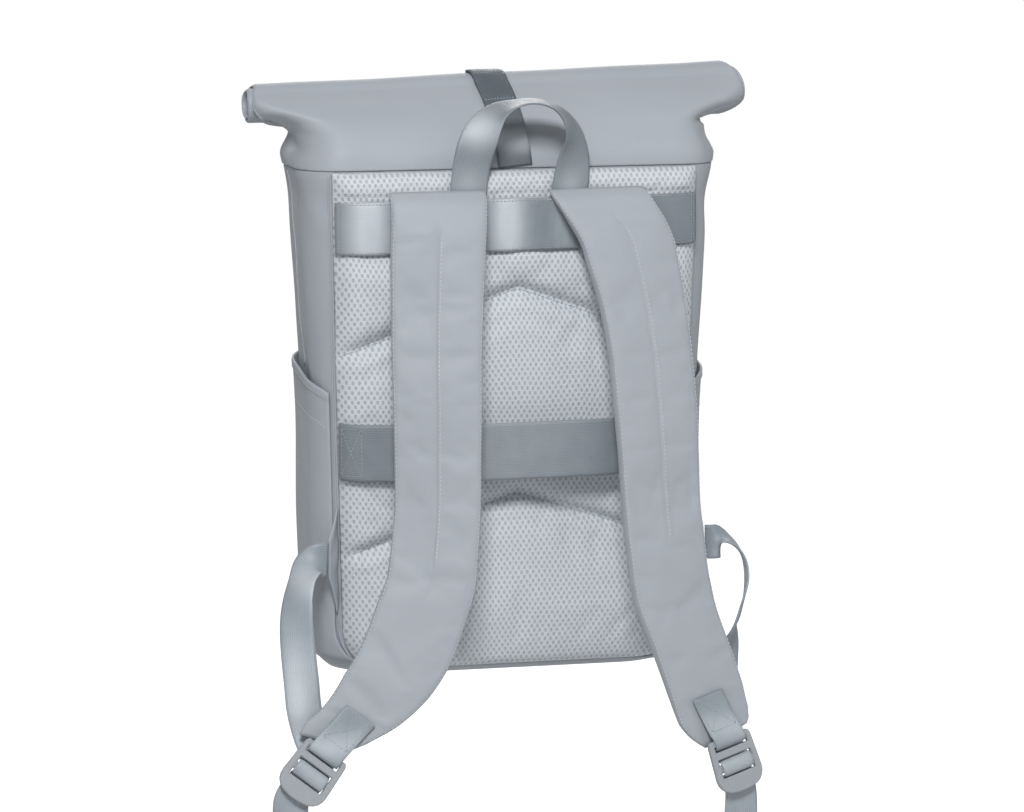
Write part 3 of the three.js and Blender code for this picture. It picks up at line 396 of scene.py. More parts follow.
def section_ring(section):
    """The points of a section, laid between its back and front edges."""
    half, back, front, crown = section
    along = np.array([0, front[0] - back[0], front[1] - back[1]])
    deep = np.linalg.norm(along)
    along = along / deep
    flat = outline(half, deep, BACK_CORNER, FRONT_CORNER, crown)
    points = np.array([0, back[0], back[1]]) + flat[:, 1:2] * along
    points[:, 0] = flat[:, 0]
    return looser(dented(points))


# Folds of the collar and the roll: both ends in x, y, z, then reach and height
COLLAR_FOLDS = [
    ((-155, 26, 396), (-112, 26, 398), 5, 1.8), ((-146, 14, 390), (-141, 8, 380), 3, 1.2),
    ((-141, 8, 380), (-148, 10, 371), 3, 0.9), ((-140, 8, 374), (-100, 4, 371), 6, -0.7),
    ((-150, 30, 402), (-60, 34, 406), 7, -0.9), ((154, 28, 396), (110, 28, 398), 6, 1.7),
    ((153, 24, 396), (148, 12, 380), 3, -2.4), ((144, 10, 390), (140, 5, 372), 4, 0.9),
    ((140, 12, 388), (84, 16, 394), 8, -0.8), ((150, 34, 410), (70, 36, 412), 8, 0.8),
    ((-30, 4, 371), (-10, 18, 392), 6, 0.8), ((34, 5, 372), (20, 20, 394), 6, -0.7),
]
SIDE_FOLDS = [
    ((-144, 10, 356), (-132, 4, 336), 4, -1.6), ((-150, 18, 350), (-140, 8, 322), 5, 1.4),
    ((-150, 40, 352), (-148, 60, 300), 8, -1.6), ((-146, 30, 320), (-146, 26, 255), 7, 1.1),
    ((148, 10, 352), (138, 4, 330), 5, -1.6), ((152, 22, 340), (146, 12, 292), 6, 1.4),
    ((150, 52, 344), (147, 70, 262), 9, -1.8), ((146, 40, 240), (146, 60, 160), 9, 1.2),
    ((-146, 60, 240), (-146, 40, 150), 9, -1.3), ((-142, 20, 120), (-132, 8, 70), 5, 1.5),
    ((-140, 30, 90), (-128, 14, 34), 6, -1.8), ((-130, 20, 46), (-112, 8, 14), 6, 1.8),
    ((100, 118, 330), (-40, 122, 292), 12, -2.0), ((-110, 116, 340), (-30, 124, 250), 13, 1.8),
    ((60, 124, 120), (124, 110, 50), 12, 2.0), ((-30, 124, 90), (-120, 110, 40), 12, -2.0),
    ((20, 122, 200), (118, 116, 150), 14, -1.6), ((-118, 114, 200), (-40, 122, 168), 12, 1.4),
]


def hollow(points, corners, deep, edge, reach):
    """How far a sharp-edged dent goes in: its corners in x and z, within reach of the back face."""
    corners = np.asarray(corners, float)
    inside = np.full(len(points), 1e9)
    for a, b in zip(corners, np.roll(corners, -1, axis=0)):
        run = unit(b - a)
        past = (points[:, 2] - a[1]) * run[0] - (points[:, 0] - a[0]) * run[1]
        inside = np.minimum(inside, past)
    return deep * ramp(inside, 0, edge) * ramp(reach - points[:, 1], 0, 12)


bag = skin("bag_shell", [section_ring(s) for s in bag_sections()])
at = points_of(bag)
on_body = ramp(SEAM - at[:, 2], 2, 30) * ramp(at[:, 2], 4, 30)
off_panel = ramp(np.maximum(np.abs(at[:, 0]) - PANEL_SIDE, at[:, 1] - 8), 0, 14)
swell(bag, on_body * off_panel, pressure=3.0, cap=5, spare=0.02)
at = points_of(bag)
folds = creases(at, COLLAR_FOLDS) + creases(at, SIDE_FOLDS) * on_body
rolled = ramp(at[:, 2], *NECK_TOP)
folds += 0.45 * wavy(at, 70, 1) * (1 - rolled) * off_panel + 0.5 * wavy(at, 110, 2) * rolled
# The dents beside the collar's neck, and the collar's lower edge over the body
folds -= hollow(at, [(-141, 379), (-146, 392), (-175, 396), (-175, 362), (-150, 369)], 8.0, 20, 60)
folds -= hollow(at, [(175, 396), (152, 397), (149, 384), (153, 374), (175, 372)], 4.0, 7, 60)
folds += LIP * ramp(at[:, 2], SEAM + 0.1, SEAM + 0.6) * ramp(384 - at[:, 2], 0, 14)
folds -= GROOVE * bump(at[:, 2], SEAM, 0.35)
push(bag, folds)
# The roll's ends are rounded off towards its top, and the right one is tucked in below
at = points_of(bag)
crest = ROLL_Z + ROLL_RADIUS * (1 + 2 * ROLL_TAPER * at[:, 0] / (ROLL_WIDTH / 2))
rise = 1 - np.sqrt(1 - (0.98 * np.clip((at[:, 2] - ROLL_Z) / (crest - ROLL_Z), 0, 1)) ** 2)
tuck = np.clip((ROLL_Z - 2 - at[:, 2]) / (ROLL_RADIUS - 2), 0, 1) ** 2 * ramp(at[:, 2], 391, 398)
inward = np.where(at[:, 0] > 0, ROUND_RIGHT * rise + TUCK_RIGHT * tuck, ROUND_LEFT * rise)
at[:, 0] -= np.sign(at[:, 0]) * (inward * ramp(np.abs(at[:, 0]), 120, ROLL_WIDTH / 2))
set_points(bag, at)


# Back panel
# up, share of CHEVRON, share of PANEL_THICK
PANEL_ROWS = np.array([
    (PANEL_FOOT / SEAM, 0, 0.3), (0.028, 0, 0.62), (0.07, 0.1, 0.85), (0.14, 0.4, 1.0),
    (0.24, 0.8, 0.98), (0.33, 0.94, 0.84), (0.349, 0.94, 0.6), (0.36, 0.94, 0.42),
    (0.371, 0.95, 0.6), (0.391, 0.96, 0.86), (0.46, 0.97, 1.0), (0.58, 0.98, 1.0),
    (0.68, 1.0, 0.98), (0.734, 1.0, 0.86), (0.754, 1.0, 0.6), (0.765, 1.0, 0.42),
    (0.776, 1.0, 0.6), (0.796, 0.9, 0.88), (0.835, 0.4, 0.86), (0.87, 0.1, 0.75),
    (0.951, 0, 0.72), (0.964, 0, 0.9), (0.978, 0, 0.95), (0.992, 0, 0.72), (0.998, 0, 0.4),
])
# Each chevron seam's share of SEAM and share of CHEVRON, and how round the tips are
CHEVRON_SEAMS = {0.36: 0.94, 0.765: 1.0}
CHEVRON_TIP = 3
# share of the panel's half width, share of the puff left there
PANEL_EDGE = np.array([(0.8, 1.0), (0.88, 0.94), (0.94, 0.8), (0.975, 0.6), (1.0, 0.3)])


def panel_half(z):
    z = np.asarray(z, float)
    half = (PANEL_BOTTOM + (PANEL_TOP - PANEL_BOTTOM) * z / SEAM) / 2
    low = np.clip(PANEL_FOOT + PANEL_CORNER - z, 0, PANEL_CORNER)
    return half - PANEL_CORNER + np.sqrt(PANEL_CORNER ** 2 - low ** 2)


def chevron_drop(x, bend):
    return bend * CHEVRON * (np.sqrt(x ** 2 + CHEVRON_TIP ** 2) - CHEVRON_TIP)


def panel_rings(columns=112, rows=150):
    """The panel's rings, with the share of SEAM and of the half width of their points."""
    ups = np.r_[np.linspace(PANEL_FOOT / SEAM, 0.06, 10), np.linspace(0.066, 0.94, rows - 30),
                np.linspace(0.946, 0.998, 20)]
    side = np.sin(np.linspace(-1, 1, columns) * math.pi / 2 * 0.86) / math.sin(math.pi / 2 * 0.86)
    fall = held_curve(PANEL_EDGE[:, 0], PANEL_EDGE[:, 1], np.abs(side))
    rings = []
    for up in ups:
        bend = np.interp(up, PANEL_ROWS[:, 0], PANEL_ROWS[:, 1])
        puff = held_curve(PANEL_ROWS[:, 0], PANEL_ROWS[:, 2], up)
        rough = side * panel_half(up * SEAM)
        z = up * SEAM - chevron_drop(rough, bend)
        x = side * panel_half(z)
        seat = back_surface(x, z) - SEAT
        front = seat - 1 - (PANEL_THICK * puff - 1) * fall
        rings.append(np.r_[np.stack([x, front, z], 1), np.stack([x, seat, z], 1)[::-1]])
    return np.array(rings), ups, side


rings, panel_ups, panel_sides = panel_rings()
panel = skin("panel_pads", rings)
front_count = len(panel_sides)
is_front = np.tile(np.r_[np.ones(front_count), np.zeros(front_count)], len(panel_ups))
side_of = np.tile(np.r_[panel_sides, panel_sides[::-1]], len(panel_ups))
up_of = np.repeat(panel_ups, 2 * front_count)
seams = np.ones(len(up_of))
for seam_up in CHEVRON_SEAMS:
    seams *= ramp(np.abs(up_of - seam_up), 0.004, 0.03)
seams *= ramp(up_of, 0.03, 0.07) * ramp(0.99 - up_of, 0, 0.012)
band_zone = 1 - ramp(up_of, 0.84, 0.86) * ramp(0.958 - up_of, 0, 0.012)
panel_free = is_front * seams * band_zone * ramp(0.97 - np.abs(side_of), 0, 0.12)
swell(panel, panel_free, pressure=3.0, cap=3, spare=0.01)
at = points_of(panel)
# The pads reach up to the upper band from both sides
height = up_of * SEAM
off_edge = is_front * ramp(0.99 - np.abs(side_of), 0, 0.1)
push(panel, (2.4 * bump(height, 0.836 * SEAM, 8) + 1.0 * bump(height, 0.966 * SEAM, 4)) * off_edge)
push(panel, 2.1 * bump(height, 0.949 * SEAM, 4.5) * is_front * ramp(0.94 - np.abs(side_of), 0, 0.12))
# Each pad swells above its chevron seam and starts with a crest below it
for seam_up in CHEVRON_SEAMS:
    gap = (up_of - seam_up) * SEAM
    push(panel, (1.4 * bump(gap, -9, 6) + 1.2 * bump(gap, 14, 8) - 2.6 * bump(gap, 1.0, 2.6)) * off_edge)
at = points_of(panel)
near_seam = sum(np.exp(-((up_of - s) / 0.028) ** 2) for s in CHEVRON_SEAMS)
puckers = np.sin(at[:, 0] * 0.55 + 1.3 * np.sin(at[:, 0] * 0.11)) * near_seam * 0.28
push(panel, (0.5 * wavy(at, 60, 3) * seams + puckers) * is_front)


# Ways along straps and webbing


def way(at, width, thick, across=None, face=None, step=2.5):
    """A strip's middle line and its axes, turned by which way it runs across or which way it faces."""
    at = np.asarray(at, float)
    chord = run_along(at)
    s = np.linspace(0, chord[-1], max(int(chord[-1] / step), 4) + 1)
    middle = flowing_curve(chord, at, s)
    tangent = unit(np.gradient(middle, s, axis=0))
    turn = np.asarray(across if face is None else face, float)
    turn = unit(flowing_curve(chord, turn, s))
    sideways = turn if face is None else unit(np.cross(tangent, turn))
    out = unit(np.cross(sideways, tangent))
    size = np.full(len(at), width) if np.isscalar(width) else np.asarray(width, float)
    deep = np.full(len(at), thick) if np.isscalar(thick) else np.asarray(thick, float)
    return {
        "middle": middle, "across": sideways, "out": out, "s": s,
        "width": np.interp(s, chord, size), "thick": np.interp(s, chord, deep),
    }


def on_way(line, u, lift):
    """Points at a share u of the half width, and at a lift over the middle in millimetres."""
    u = np.asarray(u, float)
    lift = np.asarray(lift, float)
    half = line["width"][:, None] / 2
    return (line["middle"][:, None] + line["across"][:, None] * (u * half)[..., None]
            + line["out"][:, None] * lift[..., None])


def ribbon(name, line, columns=13, relief=None):
    """A strip of webbing with rounded edges. relief(s, u) lifts both its faces."""
    u = np.linspace(-1, 1, columns)
    edge = np.sqrt(np.clip(1 - np.abs(u) ** 12, 0.12, 1))
    ring_u = np.r_[u, u[::-1]]
    ring_v = np.r_[edge, -edge[::-1]]
    s, uu = np.meshgrid(line["s"], ring_u, indexing="ij")
    lift = ring_v[None] * line["thick"][:, None] / 2
    if relief is not None:
        lift = lift + relief(s, uu)
    half = float(line["width"].mean()) / 2
    around = np.r_[ring_u, ring_u[0]] * half
    return skin(name, on_way(line, uu, lift), around, line["s"])


# Shoulder straps
# x share of WIDTH / 2, out of REACH, z of SEAM, width of STRAP_WIDTH, thickness of STRAP_THICK, tilt
STRAPS = {
    "left": np.array([
        (-0.413, 0.212, 0.961, 1.04, 0.3, 0), (-0.416, 0.29, 0.94, 1.03, 0.6, 0),
        (-0.421, 0.335, 0.905, 1.02, 0.9, 0), (-0.43, 0.372, 0.855, 1.01, 1, 0),
        (-0.442, 0.44, 0.758, 0.98, 1, 0), (-0.455, 0.52, 0.66, 0.96, 1, 0),
        (-0.462, 0.6, 0.566, 0.945, 1, 0), (-0.468, 0.65, 0.455, 0.92, 1, 0),
        (-0.474, 0.69, 0.36, 0.915, 1, -1), (-0.494, 0.735, 0.284, 0.93, 1, -5),
        (-0.522, 0.79, 0.213, 0.945, 1, -10), (-0.574, 0.83, 0.161, 0.955, 1, -15),
        (-0.655, 0.885, 0.086, 0.955, 0.98, -16), (-0.756, 0.93, 0.027, 0.92, 0.92, -17),
        (-0.886, 0.965, -0.027, 0.8, 0.8, -17), (-1.014, 0.99, -0.06, 0.69, 0.55, -17),
        (-1.062, 1.0, -0.073, 0.58, 0.4, -17),
    ]),
    "right": np.array([
        (0.375, 0.212, 0.961, 1.04, 0.3, 1), (0.4, 0.29, 0.942, 1.06, 0.6, 1),
        (0.455, 0.335, 0.905, 1.07, 0.9, 1), (0.509, 0.372, 0.86, 1.06, 1, 0),
        (0.538, 0.405, 0.81, 1.04, 1, 0), (0.572, 0.445, 0.746, 1.0, 1, 0),
        (0.6, 0.53, 0.65, 0.975, 1, 0), (0.616, 0.6, 0.552, 0.97, 1, 0),
        (0.628, 0.65, 0.455, 0.94, 1, 0), (0.636, 0.69, 0.358, 0.92, 1, 0),
        (0.655, 0.76, 0.255, 0.92, 1, 0), (0.683, 0.825, 0.165, 0.925, 1, 0),
        (0.762, 0.9, 0.069, 0.9, 0.96, 1), (0.825, 0.955, -0.009, 0.88, 0.85, 5),
        (0.867, 0.985, -0.063, 0.83, 0.65, 11), (0.893, 0.997, -0.086, 0.73, 0.5, 13),
        (0.925, 1.0, -0.102, 0.56, 0.4, 24),
    ]),
}
TURN_ROWS = np.array([(0.2, 0), (0.29, 0.1), (0.335, 0.3), (0.37, 0.55), (0.44, 0.85), (0.52, 1)])
STRAP_TURN = {"left": -13.0, "right": 13.0}


def across_strap(tilt, turn):
    tilt, turn = np.radians(tilt), np.radians(turn)
    return np.stack([np.cos(tilt) * np.cos(turn), np.cos(tilt) * np.sin(turn), np.sin(tilt)], -1)


def strap_way(side):
    """The line of a shoulder strap, turned sideways below its top."""
    rows = STRAPS[side]
    turn = STRAP_TURN[side] * np.interp(rows[:, 1], TURN_ROWS[:, 0], TURN_ROWS[:, 1])
    at = np.stack([rows[:, 0] * WIDTH / 2, -rows[:, 1] * REACH, rows[:, 2] * SEAM], 1)
    across = -across_strap(rows[:, 5], turn)
    return way(at, rows[:, 3] * STRAP_WIDTH, rows[:, 4] * STRAP_THICK, across=across, step=3.0)


# Cross-section of a strap: share of the half width, share of the half thickness, from the back's
# one edge round to the other. u grows towards -X, and the half at u < 0 overlaps the other.
def strap_profile():
    back = [(u, -1 + 0.25 * abs(u) ** 6) for u in np.linspace(-0.94, 0.94, 16)]
    edge = [(0.985, -0.55), (1.0, -0.1), (0.995, 0.35), (0.98, 0.62)]
    front = [(u, 0.9 + 0.12 * (1 - u * u) - 0.12 * abs(u) ** 14) for u in np.linspace(0.955, 0.03, 12)]
    step = [(0.012, 0.97), (-0.004, 1.13), (-0.03, 1.16)]
    over = [(u, 0.9 + 0.24 * (1 - abs(u) ** 1.5) - 0.12 * abs(u) ** 14)
            for u in np.linspace(-0.1, -0.955, 11)]
    return np.array(back + edge + front + step + over + [(-u, v) for u, v in edge[::-1]])


PROFILE = strap_profile()
BACK_POINTS, FRONT_POINTS = 16, 26
# Folds of the strap: where along it and across it from and to, then reach and height
STRAP_FOLDS = {
    "left": [(0.74, -0.9, 0.8, -0.1, 8, 0.7), (0.82, 0.9, 0.88, 0.2, 8, 0.7),
             (0.9, -0.8, 0.94, 0.1, 6, -0.6), (0.88, -0.9, 0.9, -0.2, 6, -0.5)],
    "right": [(0.1, 0.9, 0.2, 0.1, 8, -0.5), (0.52, -0.15, 0.58, -0.9, 6, -0.8),
              (0.57, -0.15, 0.63, -0.95, 6, 0.9), (0.63, -0.1, 0.69, -0.95, 6, -0.9),
              (0.68, -0.2, 0.73, -0.95, 6, 0.8), (0.76, 0.2, 0.82, -0.9, 8, -0.7),
              (0.88, 0.8, 0.92, -0.3, 6, -0.6)],
}

strap_lines = {}
strap_pieces = {}
for side in SIDES:
    line = strap_way(side)
    strap_lines[side] = line
    rows = len(line["s"])
    length = line["s"][-1]
    seam_fade = ramp(line["s"] / length, 0.04, 0.09) * ramp(0.66 - line["s"] / length, 0, 0.03)
    u = np.tile(PROFILE[:, 0], (rows, 1))
    v = np.tile(PROFILE[:, 1], (rows, 1))
    plain = 0.9 + 0.16 * (1 - np.abs(PROFILE[:, 0]) ** 2) - 0.12 * np.abs(PROFILE[:, 0]) ** 14
    is_top = np.arange(len(PROFILE)) >= BACK_POINTS + 4
    is_top &= np.arange(len(PROFILE)) < BACK_POINTS + 4 + FRONT_POINTS
    blend = np.where(is_top, 1 - seam_fade[:, None], 0)
    v = v * (1 - blend) + plain[None] * blend
    rings = on_way(line, u, v * line["thick"][:, None] / 2)
    zones = np.where(np.arange(len(PROFILE)) < BACK_POINTS, 1, 0)
    perimeter = np.r_[PROFILE[:, 0], PROFILE[0, 0]] * STRAP_WIDTH / 2
    piece = skin(f"strap_pad_{side}", rings, perimeter, line["s"], zones)
    share = np.repeat(line["s"] / length, len(PROFILE))
    across_at = np.tile(PROFILE[:, 0], rows)
    seam_line = np.exp(-(across_at / 0.07) ** 2) * np.repeat(seam_fade, len(PROFILE))
    free = (1 - ramp(np.abs(across_at), 0.88, 0.97)) * (1 - seam_line)
    free *= ramp(share, 0.02, 0.08) * ramp(0.98 - share, 0, 0.06)
    swell(piece, free, pressure=1.2, cap=1.0, spare=0.006)
    at = points_of(piece)
    flat = np.stack([across_at * STRAP_WIDTH / 2, share * length, 0 * share], 1)
    lines = [((u0 * STRAP_WIDTH / 2, s0 * length, 0), (u1 * STRAP_WIDTH / 2, s1 * length, 0), reach, high)
             for s0, u0, s1, u1, reach, high in STRAP_FOLDS[side]]
    top = np.tile(is_top.astype(float), rows)
    push(piece, top * (creases(flat, lines) + 0.1 * wavy(at, 70, 4)))
    strap_pieces[side] = piece


# Strap ends: the tab, the lock and the adjuster webbing
STRAP_ENDS = {"left": (-0.974, -0.051, -44, -37), "right": (0.867, -0.055, 24, 15)}
TAB_LENGTH = 32.0
TAB_OUT = REACH + STRAP_THICK * 0.25 + WEB_THICK / 2 + CLEAR + 2
# x share of WIDTH / 2, out of REACH, z of SEAM, and which way the outer side looks
ADJUSTERS = {
    "left": np.array([
        (-0.95, 0.058, 0.243, 0, -1, 0), (-0.985, 0.08, 0.2435, -0.1, -1, 0.1),
        (-1.044, 0.13, 0.236, -0.4, -0.7, 0.5), (-1.085, 0.2, 0.214, -0.6, -0.45, 0.65),
        (-1.118, 0.3, 0.187, -0.6, -0.5, 0.5), (-1.14, 0.42, 0.143, -0.5, -0.75, 0.4),
        (-1.146, 0.56, 0.083, -0.3, -0.9, 0.3), (-1.146, 0.7, 0.03, -0.2, -0.95, 0.2),
        (-1.143, 0.8, -0.02, -0.1, -1, 0.1), (-1.12, 0.86, -0.064, -0.15, -1, 0.4),
        (-1.1, 0.95, -0.094, -0.2, -0.8, 0.6),
    ]),
    "right": np.array([
        (0.962, 0.05, 0.246, 0, -1, 0), (1.0, 0.08, 0.2465, 0.2, -0.95, 0.1),
        (1.055, 0.14, 0.251, 0.45, -0.35, 0.8), (1.105, 0.23, 0.236, 0.7, -0.05, 0.7),
        (1.126, 0.33, 0.208, 0.95, -0.05, 0.3), (1.118, 0.43, 0.176, 1, -0.1, 0.05),
        (1.082, 0.54, 0.142, 1, -0.15, 0), (1.03, 0.65, 0.107, 0.95, -0.3, -0.1),
        (0.99, 0.625, 0.055, 0.55, -0.85, 0), (0.962, 0.72, -0.01, 0.35, -0.9, 0),
        (0.95, 0.81, -0.065, 0.2, -1, 0.2), (0.945, 0.93, -0.12, 0.15, -0.8, 0.5),
    ]),
}
# Way through the lock: down from the lower bar's top edge, and out from the lock's middle
WEAVE = [
    (-4.6, -5.0), (-2.7, -3.2), (-2.2, -1.4), (-2.2, 1.4), (-0.6, 3.0), (1.6, 3.75),
    (3.9, 3.75), (6.1, 3.0), (7.7, 1.4), (7.7, -1.4), (9.1, -3.4), (13.1, -3.9),
]


def end_axes(side, lean, pitch):
    """Across, down and out of the end of a strap."""
    across = across_strap(lean, STRAP_TURN[side])
    straight = np.array([math.sin(math.radians(lean)), -math.sin(math.radians(pitch)),
                         -math.cos(math.radians(lean))])
    down = unit(straight - across * (straight @ across))
    return across, down, unit(np.cross(down, across))


def placed(origin, axes, v, w):
    return origin + axes[1] * v + axes[2] * w


tabs = {}
adjusters = {}
for side in SIDES:
    x, z, lean, lock_lean = STRAP_ENDS[side]
    tab_axes = end_axes(side, lean, 4)
    axes = end_axes(side, lock_lean, 6)
    start = np.array([x * WIDTH / 2, -TAB_OUT, z * SEAM])
    top = placed(start, tab_axes, TAB_LENGTH / 2 + WEB_THICK + CLEAR, 0)
    over = LOCK_THICK / 2 + CLEAR + WEB_THICK / 2
    points = [placed(start, tab_axes, v, w) for v, w in (
        (-TAB_LENGTH / 2, 0.2), (-TAB_LENGTH / 2 + 4, 0.0), (0, 0.1), (TAB_LENGTH / 2 - 3.5, 1.4))]
    points += [placed(top, axes, v, w) for v, w in (
        (1.2, over), (3.9, over), (6.5, 0.6), (6.4, -1.4), (3.7, -over), (1.6, -over - 0.1))]
    tabs[side] = way(points, WEB, WEB_THICK, across=np.tile(-axes[0], (len(points), 1)), step=1.2)
    rows = ADJUSTERS[side]
    points = [(r[0] * WIDTH / 2, -r[1] * REACH, r[2] * SEAM) for r in rows]
    faces = [unit(r[3:6]) for r in rows]
    weave = [placed(top, axes, LOWER_BAR + v, w) for v, w in WEAVE]
    weave.append(placed(top, axes, LOCK_LENGTH, -6))
    points += weave
    faces += [axes[2]] * len(weave)
    last = weave[-1]
    swing, sway = (-0.06, -20) if side == "left" else (0, 8)
    for share in (0.25, 0.5, 0.75, 1):
        shift = (swing * share + math.sin(math.radians(sway)) * 0.2 * share) * TAIL_LENGTH * 0.6
        points.append(last + np.array([shift, -1.5 * share, -TAIL_LENGTH * share]))
        faces.append(unit(np.array([-0.35 if side == "left" else 0.05, -1, 0])))
    adjusters[side] = way(points, WEB, WEB_THICK, face=faces, step=1.6)

tab_pieces = {side: ribbon(f"tab_webbing_{side}", tabs[side]) for side in tabs}
adjuster_pieces = {side: ribbon(f"adjuster_strip_{side}", adjusters[side]) for side in adjusters}


# Wing tabs at the side seams
# share of the way out, height in webbing widths
WING_ROWS = [(0, 3.1), (0.45, 2.1), (1, 1.12)]
WING_UP, WING_THICK = 0.235, 2.0
wing_pieces = {}


def pleats(s, u):
    """Small pleats of a wing tab, fading towards its tip."""
    return 0.45 * np.sin(u * 7 + 0.9 * s * 0.3) * np.exp(-s / 9)


for side, sign in SIDES.items():
    first = ADJUSTERS[side][0]
    tip_x = first[0] * WIDTH / 2 - sign * 1.6
    seam_x = sign * (float(panel_half(WING_UP * SEAM + WING_ROWS[0][1] * WEB / 2)) + 2 * SEAT)
    seam_y = float(back_surface(seam_x, WING_UP * SEAM)) - 2.2 / 2 - CLEAR - 0.8
    points, sizes = [], []
    for share, tall in WING_ROWS:
        points.append((seam_x + (tip_x - seam_x) * share, seam_y + (-first[1] * REACH - seam_y) * share,
                       (WING_UP + (first[2] - WING_UP) * share) * SEAM))
        sizes.append(tall * WEB)
    line = way(points, sizes, WING_THICK, across=np.tile([0.0, 0.0, 1.0], (3, 1)), step=0.9)
    wing_pieces[side] = ribbon(f"wing_cloth_{side}", line, 40, pleats)


# Bands across the panel
# share of the panel's half width, distance from the back face
UPPER_BAND = np.array([
    (-0.995, 4.3), (-0.965, 8.5), (-0.9, 12.0), (-0.75, 14.6), (-0.5, 15.2), (-0.2, 16.6), (0.1, 16.8),
    (0.35, 15.6), (0.6, 14.8), (0.8, 13.6), (0.91, 11.8), (0.965, 8.5), (0.995, 4.3),
])
# share of the panel's half width, share of SLEEVE_GAP
TROLLEY_HALF = np.array([
    (1.002, -0.54), (0.97, -0.2), (0.9, 0.12), (0.75, 0.4), (0.55, 0.88), (0.45, 1.0), (0.2, 1.04),
])
TROLLEY_BAND = np.r_[TROLLEY_HALF * [-1, 1], TROLLEY_HALF[::-1]]


def band_way(rows, out, height, width):
    """The line of a band across the panel, a little higher on the right."""
    x = rows[:, 0] * float(panel_half(height))
    at = np.stack([x, -out, height + 0.008 * x], 1)
    return way(at, width, WEB_THICK, face=np.tile([0.0, -1.0, 0.0], (len(rows), 1)), step=1.8)


upper_line = band_way(UPPER_BAND, UPPER_BAND[:, 1], SEAM * 0.895, UPPER_WIDTH)
trolley_out = PANEL_THICK + SEAT + CLEAR + WEB_THICK / 2 + TROLLEY_BAND[:, 1] * SLEEVE_GAP
trolley_line = band_way(TROLLEY_BAND, trolley_out, SLEEVE_HEIGHT, TROLLEY_WIDTH)
band_middle = upper_line["s"][-1] / 2


def band_relief(s, u):
    """Bulges between the places where the upper band is sewn down, in millimetres."""
    x = s - band_middle
    left = 2.4 * bump(x, -111, 13) * (1 - 0.5 * u * u)
    middle = 1.6 * bump(x, -14, 10) * (1 - 0.3 * (u - 0.3) ** 2) - 0.5 * bump(x, 8, 9)
    fold = 1.3 * bump(x - 5 * u, 31, 4) * ramp(-u, -0.4, 0.8)
    right = 1.0 * bump(x, 106, 9) * (1 - 0.4 * u * u)
    ripple = 0.18 * np.sin(x * 0.9 + 2.5 * u) * bump(x, 0, 60)
    return left + middle + fold + right + ripple


upper_piece = ribbon("upper_band_webbing", upper_line, 22, band_relief)
trolley_piece = ribbon("trolley_band_webbing", trolley_line, 20, lambda s, u: 0.35 * np.sin(s * 0.05) * u)


# Grab handle
# x share of WIDTH / 2, out of REACH, rise of HANDLE_RISE, and which way the outer side looks
HANDLE = np.array([
    (-0.258, 0.176, 0.0, 0, -1, 0), (-0.252, 0.2, 0.2, 0, -1, 0), (-0.238, 0.225, 0.42, -0.12, -1, 0),
    (-0.215, 0.25, 0.6, -0.3, -0.9, 0.2), (-0.175, 0.27, 0.77, -0.5, -0.65, 0.5),
    (-0.11, 0.28, 0.92, -0.4, -0.3, 0.85), (-0.02, 0.28, 0.99, -0.05, -0.08, 1),
    (0.07, 0.28, 1.0, 0.1, -0.08, 1), (0.15, 0.27, 0.94, 0.5, -0.15, 0.8),
    (0.22, 0.25, 0.8, 0.8, -0.4, 0.4), (0.26, 0.23, 0.6, 0.7, -0.7, 0.1),
    (0.262, 0.21, 0.42, 0.4, -0.9, 0), (0.256, 0.195, 0.22, 0.15, -1, 0), (0.245, 0.176, 0.0, 0, -1, 0),
])
handle_at = np.stack([HANDLE[:, 0] * WIDTH / 2, -HANDLE[:, 1] * REACH,
                      SEAM * 0.953 + HANDLE[:, 2] * HANDLE_RISE], 1)
handle_line = way(handle_at, HANDLE_WIDTH, WEB_THICK, face=unit(HANDLE[:, 3:6]), step=1.6)
handle_piece = ribbon("handle_webbing", handle_line, 16,
                      lambda s, u: 0.8 * u * u * bump(s, s.max() / 2, 45))


# Closure strap over the roll, and what it meets in front


def closure_way():
    """The line of the closure strap: up the collar, over the roll and down to the clasp."""
    stand = CLEAR + WEB_THICK / 2 + 0.2
    back = np.array([ROLL_MIDDLE, ROLL_Z]) + NECK_ROWS[:, 1:3] * ROLL_RADIUS
    path = [(float(body_column(2, SEAM)) * DEPTH, SEAM)] + [tuple(p) for p in back]
    points = []
    for i, (y, z) in enumerate(path):
        after = path[i + 1] if i + 1 < len(path) else roll_point(0, SHEET / 2)
        along = unit(np.array([after[0] - y, after[1] - z]))
        points.append([0, y - along[1] * stand, z + along[0] * stand])
    points[0][2] += 1.5
    for turned in range(0, 121, 30):
        y, z = roll_point(turned, SHEET / 2 + stand + 0.4)
        points.append([0, y, z])
    points.append([0, ROLL_MIDDLE + 1.77 * ROLL_RADIUS, ROLL_Z - 0.82 * ROLL_RADIUS])
    points.append([0, ROLL_MIDDLE + 2.81 * ROLL_RADIUS, ROLL_Z - 2.09 * ROLL_RADIUS])
    clasp_top = CLASP_HEIGHT + CLASP_LENGTH / 2 + CLEAR
    for z in clasp_top + (SEAM - clasp_top) * np.array([0.82, 0.4, 0.0]):
        points.append([0, float(front_surface(z)) + stand + 1.6, z])
    points = np.array(points)
    crest = int(np.argmax(points[:, 2]))
    order = np.arange(len(points))
    fall = np.maximum(0, 1 - (order - crest) / (len(points) - 4 - crest))
    lean = np.where(order <= crest, order / crest, fall)
    along = unit(np.gradient(points, axis=0))
    faces = np.stack([0 * lean, -along[:, 2], along[:, 1]], 1)
    points[:, 0] = -0.14 * COLLAR * lean
    return way(looser(points), WEB, WEB_THICK, face=faces, step=1.6)


closure_line = closure_way()


def closure_relief(s, u):
    """The second layer that is sewn on over the roll."""
    return 0.7 * ramp(s, 57, 58.5) * ramp(84 - s, 0, 1.5)


